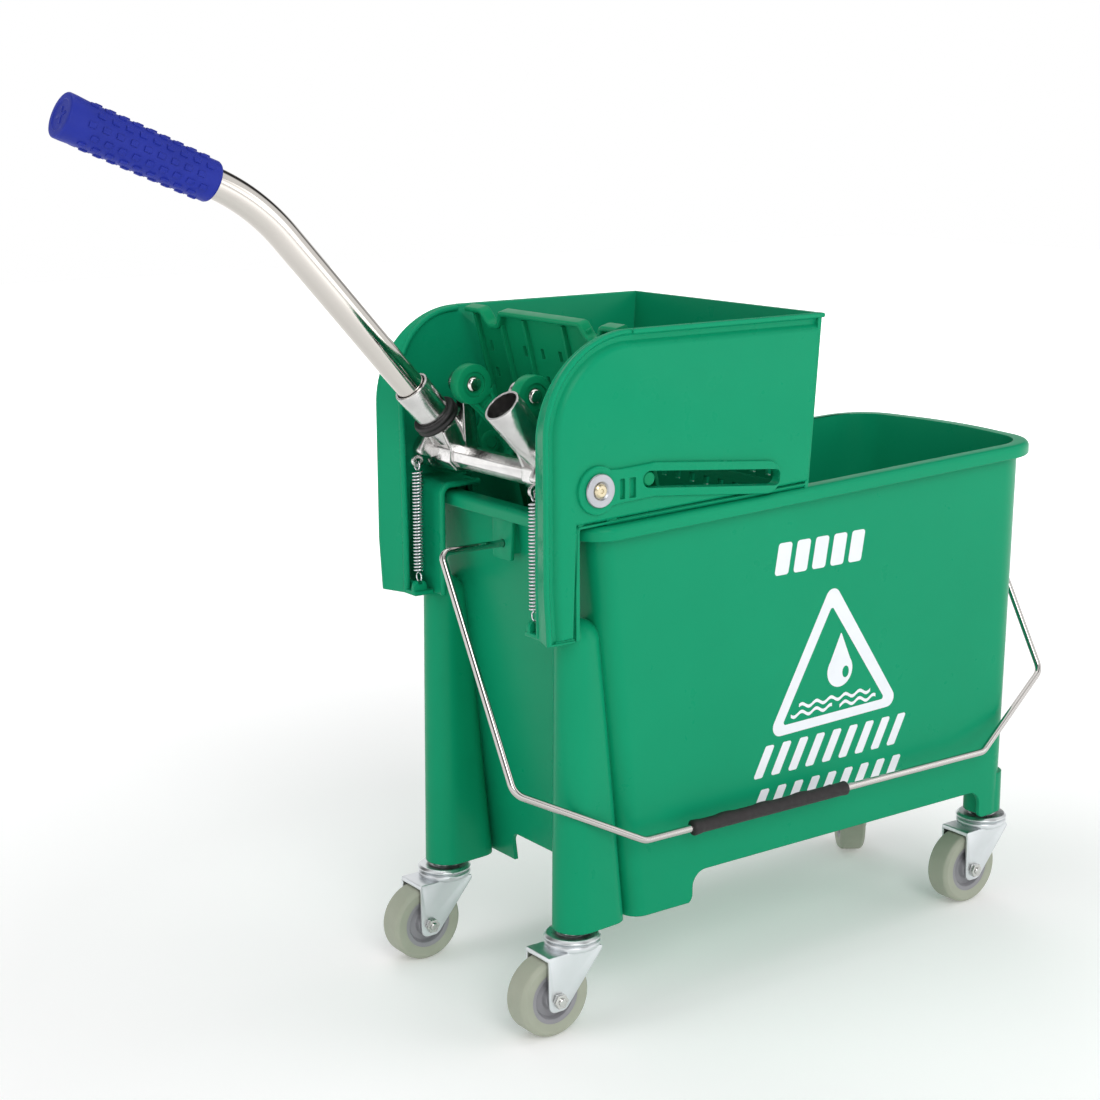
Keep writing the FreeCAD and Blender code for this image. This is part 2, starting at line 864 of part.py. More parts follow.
def make_cheek():
    """The far cheek: dished panel, leg, slot, raised rib, pivot boss and spring lug."""
    outer = num("cheek_half")
    skin = num("cheek_sheet")
    inner = num("flange_inner")
    draft = num("flange_draft")
    panel = Part.Face(cheek_wire(outer - skin, 0.0)).extrude(Vector(0, skin, 0))
    shell = Part.makeLoft([cheek_wire(outer, 0.0), cheek_wire(inner, draft)], True, True)
    hollow = Part.makeLoft(
        [cheek_wire(outer + 1, skin - 0.4, skin), cheek_wire(inner - 1, draft + skin, skin)], True, True
    )
    flange = shell.cut(hollow)
    flange = flange.cut(block(-172, 60, 60, 130, 250, 520))
    wedge_points = [(60, 425), (inner, 425), (outer - skin, 500), (outer - skin, 520), (60, 520)]
    corners = [Vector(-260, y, z) for y, z in wedge_points]
    wedge = Part.Face(Part.makePolygon(corners + corners[:1])).extrude(Vector(120, 0, 0))
    flange = flange.cut(wedge)
    proud = outer + num("rib_height")
    pivot_x = num("pivot_x")
    pivot_z = num("pivot_z")
    rib_r = num("rib_half")
    rib = long_hole(6.0, num("slot_run") - 8.0, rib_r, outer - 1, proud)
    neck_left = slot_line(6.0)
    neck = prism(
        [
            (pivot_x, pivot_z + 12.5),
            (neck_left[0], neck_left[1] + rib_r - 0.4),
            (neck_left[0], neck_left[1] - rib_r + 0.4),
            (pivot_x, pivot_z - 12.5),
        ],
        outer - 1,
        proud,
    )
    boss = rod_y(pivot_x, pivot_z, num("boss_radius"), outer - 1, proud + 0.5)
    cheek = panel.fuse([flange, rib, neck, boss])
    slot = long_hole(-0.8, num("slot_run") - 2.0, num("slot_half"), outer - 10, proud + 1)
    recess = long_hole(7.0, num("slot_run") - 10.0, rib_r - 3.4, outer + 0.8, proud + 1)
    windows = [
        block(-192, -188.5, outer + 0.6, proud + 1, 386, 401),
        block(-184, -178.5, outer + 0.6, proud + 1, 386, 401),
    ]
    bore = rod_y(pivot_x, pivot_z, num("bush_radius"), outer - 10, proud + 2)
    lip = block(-178, num("cheek_right") + 2, outer - 1, outer + 2, num("cheek_top") - 3.4, num("cheek_top"))
    cheek = cheek.fuse(lip).cut([slot, recess, bore] + windows)
    foot = num("leg_bottom")
    shelf = block(-243, -227.5, 71, outer - 1, foot, foot + 3.2)
    hook = block(-227.5, -224.5, 60, outer - 1, 317, 377)
    hood = block(-227.5, -190, 60, outer - 1, 374, 377)
    lug = block(-243, -232, 73, 77, foot, 307)
    lug_hole = rod_y(num("spring_x"), num("spring_foot"), 2.2, 70, 80)
    return cheek.fuse([shelf, hook, hood, lug.cut(lug_hole)])


def make_basket():
    """The tapered drainer inside the tub's mouth, with its front wall and holes."""
    bottom = num("basket_bottom")
    mouth = 376.0
    skin = 3.2

    def rectangle(x0, x1, half, z):
        corners = [Vector(x0, -half, z), Vector(x1, -half, z), Vector(x1, half, z), Vector(x0, half, z)]
        return Part.makePolygon(corners + corners[:1])

    outside = Part.makeLoft(
        [rectangle(-176, -38, 92.5, bottom), rectangle(-182, -18, 98.5, mouth)], True, True
    )
    inside = Part.makeLoft(
        [rectangle(-173, -41.2, 89.3, bottom + skin), rectangle(-178.8, -21.2, 95.3, mouth)], True, True
    )
    basket = outside.cut(inside)
    basket = basket.cut(block(-200, -160, -88, 88, 345, 400))
    half = num("cheek_half")
    right = num("cheek_right")
    front = prism(
        [
            (right, num("cheek_top")),
            (right - 3.5, num("cheek_top")),
            (right - 13.5, 374),
            (right - 10, 374),
        ],
        -half,
        half,
    )
    lip = block(right - 2, right + 2, -half - 2, half + 2, num("cheek_top") - 3.4, num("cheek_top"))
    slant = math.tan(math.radians(num("rim_tilt")))
    rim = num("rim_level") + 0.5
    ledges = []
    for side in (-1, 1):
        low, high = sorted((95.3 * side, (half - 1) * side))
        points = [
            (-200, rim - 200 * slant),
            (right - 10, rim + slant * (right - 10)),
            (right - 10, rim + slant * (right - 10) + 3),
            (-200, rim - 200 * slant + 3),
        ]
        ledges.append(prism(points, low, high))
    basket = basket.fuse([front, lip] + ledges)
    holes = []
    for i in range(9):
        y = -80 + 20 * i
        for z in (282, 304, 326, 348, 370, 386):
            holes.append(block(-60, 0, y - 3, y + 3, z - 4, z + 4))
        for x in (-158, -136, -114, -92, -70, -52):
            holes.append(block(x - 4, x + 4, y - 3, y + 3, bottom - 5, bottom + 8))
    return basket.cut(holes)


def make_housing():
    cheeks = both_sides(make_cheek())
    shape = make_basket().fuse(cheeks)
    right = num("cheek_right")
    over_rim = num("rim_level") - 0.2
    for side in (-1, 1):
        low, high = sorted((num("rim_inside_half") * side, (num("cheek_half") + 1) * side))
        shape = shape.cut(block(right - 16, right - 8, low, high, over_rim - 6, over_rim))
    return free_shape("wringer_housing", shape.removeSplitter())


# ---------------------------------------------------------------- press plate and links
def plate_frame():
    """The press plate's own frame: origin on the guide pins, Z up the leaning plate."""
    return at(num("guide_x"), 0, num("guide_z"), Rotation(Y_AXIS, -num("plate_lean")))


def add_rib(body, outline, middle, thick):
    """A rib of the outline (x, z), thick across Y and centred on y = middle."""
    sketch = new_sketch(body, "XZ_Plane")
    raise_sketch(sketch, -middle)
    draw_polygon(sketch, outline)
    pad(body, sketch, thick, symmetric=True)


def make_press_plate():
    body = new_body("press_plate", plate_frame())
    front = size.plate_front
    rear = front - size.plate_sheet
    top = size.plate_top
    shoulder = -18.0
    upper = new_sketch(body, "XZ_Plane")
    draw_polygon(upper, [(rear, shoulder), (front, shoulder), (front, top), (rear, top)])
    pad(body, upper, size.plate_half * 2, symmetric=True)
    lower = new_sketch(body, "XZ_Plane")
    foot = size.plate_foot
    draw_polygon(lower, [(rear, foot), (front, foot), (front, shoulder + 2), (rear, shoulder + 2)])
    pad(body, lower, size.plate_low_half * 2, symmetric=True)
    add_rib(body, [(-0.5, top - 3), (front, top - 3), (front, top), (-0.5, top)], 0, 100)
    for side in (-1, 1):
        add_rib(body, [(2, top - 3), (front, top - 3), (front, top), (2, top)], 82.5 * side, 23)
        for middle in (29.5 * side, 48 * side):
            add_rib(
                body,
                [(rear + 1, 94), (7, 94), (-10, 12), (-10, -8), (rear + 1, -34)],
                middle,
                3,
            )
        add_rib(body, [(rear + 1, 96), (9, 96), (-7.5, 8), (-7.5, -8), (rear + 1, -24)], 86 * side, 3.6)
    add_rib(body, [(rear + 1, foot), (6, foot), (6, foot + 4), (rear + 1, foot + 4)], 0, 168)
    for middle in (0, -66, 66):
        add_rib(body, [(rear + 1, 80), (8, 70), (8, foot + 2), (rear + 1, foot + 2)], middle, 2.6)
    for side in (-1, 1):
        notch = new_sketch(body, "YZ_Plane")
        draw_polygon(
            notch,
            [
                (51 * side, 106),
                (52.5 * side, 96),
                (57 * side, 92),
                (65 * side, 92),
                (69.5 * side, 96),
                (71 * side, 106),
            ],
        )
        pocket(body, notch, 80)
    hole_column = new_sketch(body, "YZ_Plane")
    for i in range(9):
        z = -100 + 21 * i
        draw_polygon(hole_column, [(-79, z), (-75, z), (-75, z + 9), (-79, z + 9)])
    cuts = pocket(body, hole_column, 80)
    pattern = body.newObject("PartDesign::LinearPattern", "press_plate_holes")
    pattern.Originals = [cuts]
    pattern.Direction = (hole_column, ["H_Axis"])
    pattern.Length = 154
    pattern.Occurrences = 8
    body.Tip = pattern
    for side in (-1, 1):
        boss = new_sketch(body, "XZ_Plane")
        raise_sketch(boss, 86.0 * side)
        draw_circle(boss, 0, 0, 9)
        pad(body, boss, 9, symmetric=True)
        guide = new_sketch(body, "XZ_Plane")
        raise_sketch(guide, 86.0 * side)
        draw_circle(guide, 0, 0, size.guide_radius)
        pocket(body, guide, 14)
    eyes = new_sketch(body, "XZ_Plane")
    lean = math.radians(num("plate_lean"))
    behind = num("link_end_x") - num("guide_x")
    draw_circle(eyes, behind * math.cos(lean), -behind * math.sin(lean), size.link_pin_radius)
    pocket(body, eyes, 110)
    return body


def make_plate_pins():
    """Guide pins in the end ribs, and short pins for the links' lower eyes."""
    guides = []
    links = []
    for name, side in SIDES.items():
        turn = sideways(side)
        guides.append(
            cylinder(
                f"guide_pin_{name}_rod",
                size.guide_radius,
                29.0,
                at(num("guide_x"), 82.0 * side, num("guide_z"), turn),
            )
        )
        links.append(
            cylinder(
                f"link_pin_{name}_rod",
                size.link_pin_radius,
                21.6,
                at(num("link_end_x"), 28.0 * side, num("link_end_z"), turn),
            )
        )
    pins = fused("guide_pins", guides)
    pins.Label = "guide_pins"
    pivots = fused("link_pins", links)
    pivots.Label = "link_pins"
    return [pins, pivots]


def make_link(name, side):
    """A link with a round ear on the crank pin and a wide eye round the plate's link pin."""
    dx = num("link_end_x") - num("crank_x")
    dz = num("link_end_z") - num("crank_z")
    length = math.hypot(dx, dz)
    middle = (num("link_inner") + num("link_thick") / 2) * side
    turn = Rotation(Y_AXIS, math.degrees(math.atan2(-dz, dx)))
    body = new_body(f"link_arm_{name}", at(num("crank_x"), middle, num("crank_z"), turn))
    thick = size.link_thick
    ear = size.ear_radius
    eye = size.eye_radius
    arm = new_sketch(body, "XZ_Plane")
    draw_polygon(
        arm,
        [(0, ear - 1), (24, 9.5), (length - 22, 8), (length, eye - 1), (length, -(eye - 1)),
         (length - 22, -8), (24, -9.5), (0, -(ear - 1))],
    )
    pad(body, arm, thick - 3, symmetric=True)
    for u, radius in ((0, ear), (length, eye)):
        ring = new_sketch(body, "XZ_Plane")
        draw_circle(ring, u, 0, radius)
        pad(body, ring, thick, symmetric=True)
    hole = new_sketch(body, "XZ_Plane")
    draw_circle(hole, 0, 0, size.crank_pin_radius + size.running_gap)
    pocket(body, hole, 40)
    wide = new_sketch(body, "XZ_Plane")
    draw_circle(wide, length, 0, size.eye_bore)
    pocket(body, wide, 40)
    return body


# ---------------------------------------------------------------- rocker and lever
def socket_frame(distance, side):
    """A point on a lever socket's centre line, with +Z up the socket."""
    slope = math.radians(num("socket_slope"))
    up = Vector(-math.cos(slope), 0, math.sin(slope))
    down_left = Vector(-math.sin(slope), 0, -math.cos(slope))
    foot = Vector(num("socket_base_x"), num("socket_y") * side, num("socket_base_z"))
    turn = Rotation(down_left, Y_AXIS * -1, up, "ZXY")
    middle = foot + up * distance
    return at(middle.x, middle.y, middle.z, turn)


def strut(name, x0, z0, x1, z1, width, low, high):
    """A flat bar from (x0, z0) to (x1, z1) in the XZ plane, width across, between two y values."""
    length = math.hypot(x1 - x0, z1 - z0)
    turn = Rotation(Y_AXIS, math.degrees(math.atan2(-(z1 - z0), x1 - x0)))
    corner = Vector(x0, low, z0) + turn.multVec(Vector(0, 0, -width / 2))
    return box(name, length, high - low, width, at(corner.x, corner.y, corner.z, turn))


def make_rocker():
    """The cast rocker: crossbar, end bosses, two sockets, crank lugs and spring lugs."""
    half = num("rocker_half")
    across = Rotation(X_AXIS, -90)
    solids = [
        cylinder("rocker_bar", size.bar_radius, 184.0, at(num("bar_x"), -92, num("bar_z"), across))
    ]
    holes = []
    for name, side in SIDES.items():
        turn = sideways(side)
        px = num("pivot_x")
        pz = num("pivot_z")
        solids.append(cylinder(f"rocker_boss_{name}", 13.0, half - 84.0, at(px, 84 * side, pz, turn)))
        holes.append(cylinder(f"rocker_thread_{name}", size.bolt_radius, 40.0, at(px, 80 * side, pz, turn)))
        neck = socket_frame(0, side)
        solids.append(
            cone(f"rocker_neck_{name}", size.neck_radius, size.socket_radius, size.neck_end, neck)
        )
        collar = socket_frame(num("neck_end"), side)
        seat = size.socket_relief - size.neck_end
        solids.append(cylinder(f"rocker_collar_{name}", size.socket_radius, seat, collar))
        mouth = socket_frame(num("socket_relief"), side)
        reach = size.socket_mouth - size.socket_relief
        solids.append(
            cone(f"rocker_socket_{name}", size.socket_radius, size.socket_flare, reach, mouth)
        )
        holes.append(
            cylinder(
                f"rocker_bore_{name}",
                size.tube_radius + size.running_gap,
                60.0,
                socket_frame(num("socket_floor"), side),
            )
        )
        holes.append(cylinder(f"rocker_relief_{name}", size.relief_bore, 60.0, mouth))
        low, high = LUG_SPANS[name]
        cx = num("crank_x")
        cz = num("crank_z")
        along = sideways(1)
        thick = high - low
        root = num("bar_x") + 11
        solids.append(strut(f"rocker_lug_{name}", root, num("bar_z") - 3, cx + 2, cz, 10.0, low, high))
        solids.append(cylinder(f"rocker_lug_eye_{name}", 9.5, thick, at(cx, low, cz, along)))
        pin = size.crank_pin_radius
        holes.append(cylinder(f"rocker_lug_hole_{name}", pin, thick + 2, at(cx, low - 1, cz, along)))
        low, high = sorted((73.0 * side, 77.0 * side))
        sx = num("spring_x")
        sz = num("spring_top")
        solids.append(strut(f"rocker_tail_{name}", num("bar_x"), num("bar_z") - 1, sx, sz, 9.0, low, high))
        solids.append(cylinder(f"rocker_tail_eye_{name}", 4.8, 4.0, at(sx, 73 * side, sz, turn)))
        holes.append(cylinder(f"rocker_tail_hole_{name}", 2.2, 12.0, at(sx, 69 * side, sz, turn)))
    casting = cut("rocker_casting", fused("rocker_solid", solids), fused("rocker_holes", holes))
    casting.Label = "rocker_casting"
    return casting


def make_lever():
    """The bent tube in the far socket and the closed grip on its end."""
    body = new_body("lever_tube", socket_frame(27, 1))
    spine = new_sketch(body, "XZ_Plane")
    straight = num("tube_straight")
    bend = num("tube_bend_radius")
    angle = math.radians(num("tube_bend"))
    tail = num("tube_tail")
    knee = Vector(0, straight, 0)
    centre = Vector(bend, straight, 0)
    after = centre + Vector(-bend * math.cos(angle), bend * math.sin(angle), 0)
    half = angle / 2
    middle = centre + Vector(-bend * math.cos(half), bend * math.sin(half), 0)
    end = after + Vector(math.sin(angle), math.cos(angle), 0) * tail
    spine.addGeometry(Part.LineSegment(Vector(), knee), False)
    spine.addGeometry(Part.Arc(knee, middle, after), False)
    spine.addGeometry(Part.LineSegment(after, end), False)
    ring = new_sketch(body, "XY_Plane")
    draw_circle(ring, 0, 0, size.tube_radius)
    draw_circle(ring, 0, 0, size.tube_radius - size.tube_wall)
    pipe = body.newObject("PartDesign::AdditivePipe", "lever_tube_pipe")
    pipe.Profile = ring
    pipe.Spine = (spine, ["Edge1", "Edge2", "Edge3"])
    grip_from = tail - (num("grip_length") - 8.5)
    local = Vector(after.x, 0, after.y) + Vector(math.sin(angle), 0, math.cos(angle)) * grip_from
    grip_place = body.Placement.multiply(Placement(local, Rotation(Y_AXIS, num("tube_bend"))))
    bore = size.tube_radius + size.running_gap
    outer = size.grip_radius
    length = size.grip_length
    grip = turned(
        "lever_grip",
        [
            (bore, 0),
            (outer - 1, 0),
            (outer, 1.5),
            (outer + 1, length - 3),
            (outer - 1.5, length),
            (0, length),
            (0, length - 8),
            (bore, length - 8),
        ],
        grip_place,
    )
    return [body, grip]


def make_ring():
    """The rubber ring pushed over the used socket."""
    inner = size.socket_radius
    outer = size.ring_radius
    return turned(
        "retaining_ring",
        [(inner, 0), (outer - 2, 0), (outer, 2), (outer, 6.5), (outer - 2, 8.5), (inner, 8.5)],
        socket_frame(num("neck_end") - 1, 1),
    )


def make_pivot(name, side):
    """Bush in the cheek, screw into the casting, and the washer under the screw's head."""
    turn = sideways(side)
    px = num("pivot_x")
    pz = num("pivot_z")
    seat = num("cheek_half") + num("rib_height") + 0.5
    hole = size.bolt_radius + size.running_gap
    face = size.bush_radius
    bush = turned(
        f"pivot_bush_{name}",
        [
            (hole, 0),
            (11.5, 0),
            (11.5, 0.7),
            (face, 0.7),
            (face, 8),
            (hole, 8),
        ],
        at(px, (num("cheek_half") - num("cheek_sheet") - 0.7) * side, pz, turn),
    )
    outer = size.washer_radius
    washer = turned(
        f"pivot_washer_{name}",
        [
            (4.0, 0),
            (outer - 0.6, 0),
            (outer, 0.7),
            (outer - 0.3, 1.8),
            (outer - 2.2, 2.4),
            (6.6, 2.2),
            (5.4, 1.0),
            (4.0, 1.0),
        ],
        at(px, (seat + 0.3) * side, pz, turn),
    )
    shaft = size.bolt_radius
    bolt = turned(
        f"pivot_bolt_{name}",
        [
            (0, 0),
            (shaft - 1, 0),
            (shaft, 1),
            (shaft, 31.3),
            (5.2, 31.3),
            (5.2, 32.2),
            (3.8, 33.4),
            (0, 33.8),
        ],
        at(px, (seat + 0.3 + 1.0 - 31.3) * side, pz, turn),
    )
    return [bush, washer, bolt]


def make_crank_pin(name):
    """A polished pin through the crank lug and the link's ear, domed at its free end."""
    radius = size.crank_pin_radius
    back = LUG_SPANS[name][1] + 0.4
    return turned(
        f"crank_pin_{name}",
        [(0, 0), (radius, 0), (radius, 22), (radius - 1.5, 24), (0, 24.6)],
        at(num("crank_x"), back, num("crank_z"), sideways(-1)),
    )


def make_spring(name, side):
    """A return spring: its coil as a hollow tube, with a hook ring at each end."""
    x = num("spring_x")
    y = num("spring_y") * side
    hook = size.hook_radius
    wire = size.spring_wire * 0.5
    top = num("spring_top") - num("hook_radius")
    foot = num("spring_foot") + num("hook_radius")
    reach = num("hook_radius") - 0.4
    upright = Rotation(Y_AXIS, 90)
    coil = cylinder(
        f"spring_outside_{name}", size.spring_radius, top - foot - 2 * reach, at(x, y, foot + reach)
    )
    core = cylinder(
        f"spring_inside_{name}",
        size.spring_radius - size.spring_wire,
        top - foot,
        at(x, y, foot),
    )
    tube = cut(f"spring_coil_{name}", coil, core)
    cap_low = cylinder(f"spring_cap_low_{name}", size.spring_radius, 1.2, at(x, y, foot + reach))
    cap_top = cylinder(f"spring_cap_top_{name}", size.spring_radius, 1.2, at(x, y, top - reach - 1.2))
    rings = [
        torus(f"spring_hook_top_{name}", hook, wire, at(x, y, top, upright)),
        torus(f"spring_hook_low_{name}", hook, wire, at(x, y, foot, upright)),
    ]
    spring = fused(f"return_spring_{name}", [tube, cap_low, cap_top] + rings)
    spring.Label = f"return_spring_{name}"
    return spring


# ---------------------------------------------------------------- assembly and export
def build():
    parts = [make_tub(), make_caster_sockets()]
    parts += make_bail()
    for name, x, y, swivel in caster_places():
        parts += make_caster(name, x, y, swivel)
    parts.append(make_housing())
    parts.append(make_press_plate())
    parts += make_plate_pins()
    parts.append(make_rocker())
    parts += make_lever()
    parts.append(make_ring())
    for name, side in SIDES.items():
        parts.append(make_link(name, side))
        parts.append(make_crank_pin(name))
        parts += make_pivot(name, side)
        parts.append(make_spring(name, side))
    doc.recompute()
    return parts


def export(parts):
    """Checks the whole document, then writes each sub-part's solids."""
    for item in doc.Objects:
        if "Invalid" in item.State or "Error" in item.State:
            raise RuntimeError(f"{item.Label} failed: {item.State}")
    for part in parts:
        if part.Shape.isNull() or not part.Shape.isValid() or not part.Shape.Solids:
            raise RuntimeError(f"{part.Label} has no valid solid")
    os.makedirs("parts", exist_ok=True)
    for part in parts:
        part.Shape.exportStep(f"parts/{part.Label}.step")
        print(f"{part.Label}: {len(part.Shape.Solids)} solid(s), {part.Shape.Volume / 1000:.2f} cm3")
    whole = FreeCAD.BoundBox()
    for part in parts:
        whole.add(part.Shape.optimalBoundingBox())
    print(f"{len(parts)} parts, x {whole.XMin:.2f} {whole.XMax:.2f}, y {whole.YMin:.2f} {whole.YMax:.2f}, "
          f"z {whole.ZMin:.2f} {whole.ZMax:.2f}")


export(build())
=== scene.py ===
import json
import math

import bmesh
import bpy
from mathutils import Matrix, Vector


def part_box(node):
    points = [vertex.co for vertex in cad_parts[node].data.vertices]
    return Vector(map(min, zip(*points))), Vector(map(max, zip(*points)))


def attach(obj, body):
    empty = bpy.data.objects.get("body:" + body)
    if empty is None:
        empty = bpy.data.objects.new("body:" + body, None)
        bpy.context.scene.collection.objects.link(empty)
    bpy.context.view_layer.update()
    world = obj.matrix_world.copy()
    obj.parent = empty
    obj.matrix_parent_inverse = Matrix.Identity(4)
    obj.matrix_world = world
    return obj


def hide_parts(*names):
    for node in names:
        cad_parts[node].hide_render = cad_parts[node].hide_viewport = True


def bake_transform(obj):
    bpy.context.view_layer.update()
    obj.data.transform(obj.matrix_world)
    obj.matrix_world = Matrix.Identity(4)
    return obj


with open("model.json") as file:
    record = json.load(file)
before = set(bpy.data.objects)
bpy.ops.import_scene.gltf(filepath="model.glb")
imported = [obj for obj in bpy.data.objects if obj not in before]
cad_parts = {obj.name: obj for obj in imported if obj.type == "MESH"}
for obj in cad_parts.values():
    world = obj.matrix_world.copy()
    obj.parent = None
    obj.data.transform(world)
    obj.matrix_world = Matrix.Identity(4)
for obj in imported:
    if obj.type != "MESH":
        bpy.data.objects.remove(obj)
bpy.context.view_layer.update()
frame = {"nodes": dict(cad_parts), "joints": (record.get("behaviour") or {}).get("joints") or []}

MM = 0.001

# ------------------------------------------------------------------ the part's own frame
CASTERS = ["rear_near", "rear_far", "nose_near", "nose_far"]
SIDES = {"near": -1, "far": 1}
JOINTS = {joint["name"]: joint for joint in frame["joints"]}


def middle(node):
    low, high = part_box(node)
    return (low + high) / 2


def local(point):
    """A point of the frame, in millimetres from the middle of the caster rectangle."""
    return (point - ORIGIN) / MM


stems = {name: middle(f"caster_stem_{name}") for name in CASTERS}
PIVOT_JOINT = Vector(JOINTS["rocker_turn"]["pos_m"])
PIVOT_BACK = 210.0
ORIGIN = Vector((PIVOT_JOINT.x + PIVOT_BACK * MM, (stems["rear_near"].y + stems["rear_far"].y) / 2, 0))
PIVOT = local(PIVOT_JOINT)
BAIL = local(Vector(JOINTS["bail_swing"]["pos_m"]))
CRANK = local(Vector(JOINTS["link_near_turn"]["pos_m"]))


# ------------------------------------------------------------------ camera, light and floor
def set_camera():
    """The photo's camera: its place in millimetres and its azimuth, elevation and roll in degrees."""
    place = Vector((-1029.3, -1206.3, 653.9))
    azimuth, elevation, roll = (math.radians(a) for a in (-35.44, 12.36, -0.27))
    data = bpy.data.cameras.new("camera")
    camera = bpy.data.objects.new("camera", data)
    bpy.context.scene.collection.objects.link(camera)
    bpy.context.scene.camera = camera
    data.lens = 67.84
    data.sensor_width = 36
    data.clip_start = 0.05
    data.clip_end = 50
    camera.location = ORIGIN + place * MM
    level = math.cos(elevation)
    back = Vector((math.sin(azimuth) * level, -math.cos(azimuth) * level, math.sin(elevation)))
    turn = (-back).to_track_quat("-Z", "Y").to_matrix()
    camera.rotation_euler = (turn @ Matrix.Rotation(roll, 3, "Z")).to_euler()


def area_light(name, place, aim, size, power):
    data = bpy.data.lights.new(name, "AREA")
    data.shape = "RECTANGLE"
    data.size, data.size_y = size
    data.energy = power
    light = bpy.data.objects.new(name, data)
    light.location = place
    light.rotation_euler = (Vector(aim) - Vector(place)).to_track_quat("-Z", "Y").to_euler()
    bpy.context.scene.collection.objects.link(light)


def map_range(tree, source, low, high, start=0.3, end=0.7):
    """Takes a value from between start and end to between low and high."""
    node = tree.nodes.new("ShaderNodeMapRange")
    for label, value in (("From Min", start), ("From Max", end), ("To Min", low), ("To Max", high)):
        node.inputs[label].default_value = value
    tree.links.new(source, node.inputs["Value"])
    return node.outputs["Result"]


def maths(tree, operation, first, second=None):
    node = tree.nodes.new("ShaderNodeMath")
    node.operation = operation
    for socket, value in zip(node.inputs, (first, second)):
        if value is None:
            continue
        if isinstance(value, (int, float)):
            socket.default_value = value
        else:
            tree.links.new(value, socket)
    return node.outputs["Value"]


def set_world():
    """White low down; higher up, bright panels and dark gaps that give the metal its streaks."""
    panels = 4.0
    world = bpy.data.worlds.new("studio")
    bpy.context.scene.world = world
    world.use_nodes = True
    tree = world.node_tree
    coordinates = tree.nodes.new("ShaderNodeTexCoord")
    parts = tree.nodes.new("ShaderNodeSeparateXYZ")
    tree.links.new(coordinates.outputs["Generated"], parts.inputs["Vector"])
    azimuth = maths(tree, "ARCTAN2", parts.outputs["Y"], parts.outputs["X"])
    wave = maths(tree, "COSINE", maths(tree, "ADD", maths(tree, "MULTIPLY", azimuth, panels), 1.2))
    panel = map_range(tree, wave, 0.03, 0.95, -0.55, 0.25)
    low = map_range(tree, parts.outputs["Z"], 1.0, 0.0, 0.16, 0.34)
    high = map_range(tree, parts.outputs["Z"], 0.0, 0.6, 0.80, 0.92)
    level = maths(tree, "MAXIMUM", maths(tree, "MAXIMUM", low, high), panel)
    background = tree.nodes["Background"]
    background.inputs["Color"].default_value = (1, 1, 1, 1)
    tree.links.new(level, background.inputs["Strength"])


def set_lights():
    set_world()
    bpy.context.scene.view_settings.view_transform = "Standard"
    area_light("key", (-0.9, -2.5, 2.0), (0, 0, 0.25), (1.5, 1.5), 26)
    area_light("fill", (1.9, -2.2, 1.3), (0.1, 0, 0.25), (1.6, 1.6), 9)
    area_light("side", (-2.6, 0.4, 1.3), (-0.1, 0, 0.3), (0.6, 1.8), 2)
    area_light("top", (0.1, 0.3, 2.6), (0, 0, 0.3), (2.0, 2.0), 10)


set_camera()
set_lights()


# ------------------------------------------------------------------ materials
def noise(tree, scale, detail):
    node = tree.nodes.new("ShaderNodeTexNoise")
    coordinates = tree.nodes.new("ShaderNodeTexCoord")
    tree.links.new(coordinates.outputs["Object"], node.inputs["Vector"])
    for label, value in (("Scale", scale), ("Detail", detail), ("Roughness", 0.55)):
        node.inputs[label].default_value = value
    return node.outputs["Fac"]


def ramp_between(tree, source, low, high):
    ramp = tree.nodes.new("ShaderNodeValToRGB")
    for stop, place, colour in zip(ramp.color_ramp.elements, (0.3, 0.7), (low, high)):
        stop.position = place
        stop.color = (*colour, 1)
    tree.links.new(source, ramp.inputs["Fac"])
    return ramp.outputs["Color"]


def material(name, colour, shade=0.9, rough=(0.3, 0.4), metal=0.0, bump=0.05, grain=900, cloud=9,
             edge=0.0, specular=0.5):
    """A procedural finish: clouded colour, uneven gloss, fine grain and, where asked, softened edges."""
    made = bpy.data.materials.new(name)
    made.use_nodes = True
    tree = made.node_tree
    shader = tree.nodes["Principled BSDF"]
    dark = tuple(c * shade for c in colour)
    tree.links.new(ramp_between(tree, noise(tree, cloud, 3.0), dark, colour), shader.inputs["Base Color"])
    tree.links.new(map_range(tree, noise(tree, cloud * 6, 5.0), *rough), shader.inputs["Roughness"])
    shader.inputs["Metallic"].default_value = metal
    shader.inputs["Specular IOR Level"].default_value = specular
    relief = tree.nodes.new("ShaderNodeBump")
    relief.inputs["Strength"].default_value = bump
    relief.inputs["Distance"].default_value = 0.0004
    tree.links.new(noise(tree, grain, 3.0), relief.inputs["Height"])
    if edge:
        soft = tree.nodes.new("ShaderNodeBevel")
        soft.samples = 4
        soft.inputs["Radius"].default_value = edge * MM
        tree.links.new(soft.outputs["Normal"], relief.inputs["Normal"])
    tree.links.new(relief.outputs["Normal"], shader.inputs["Normal"])
    return made


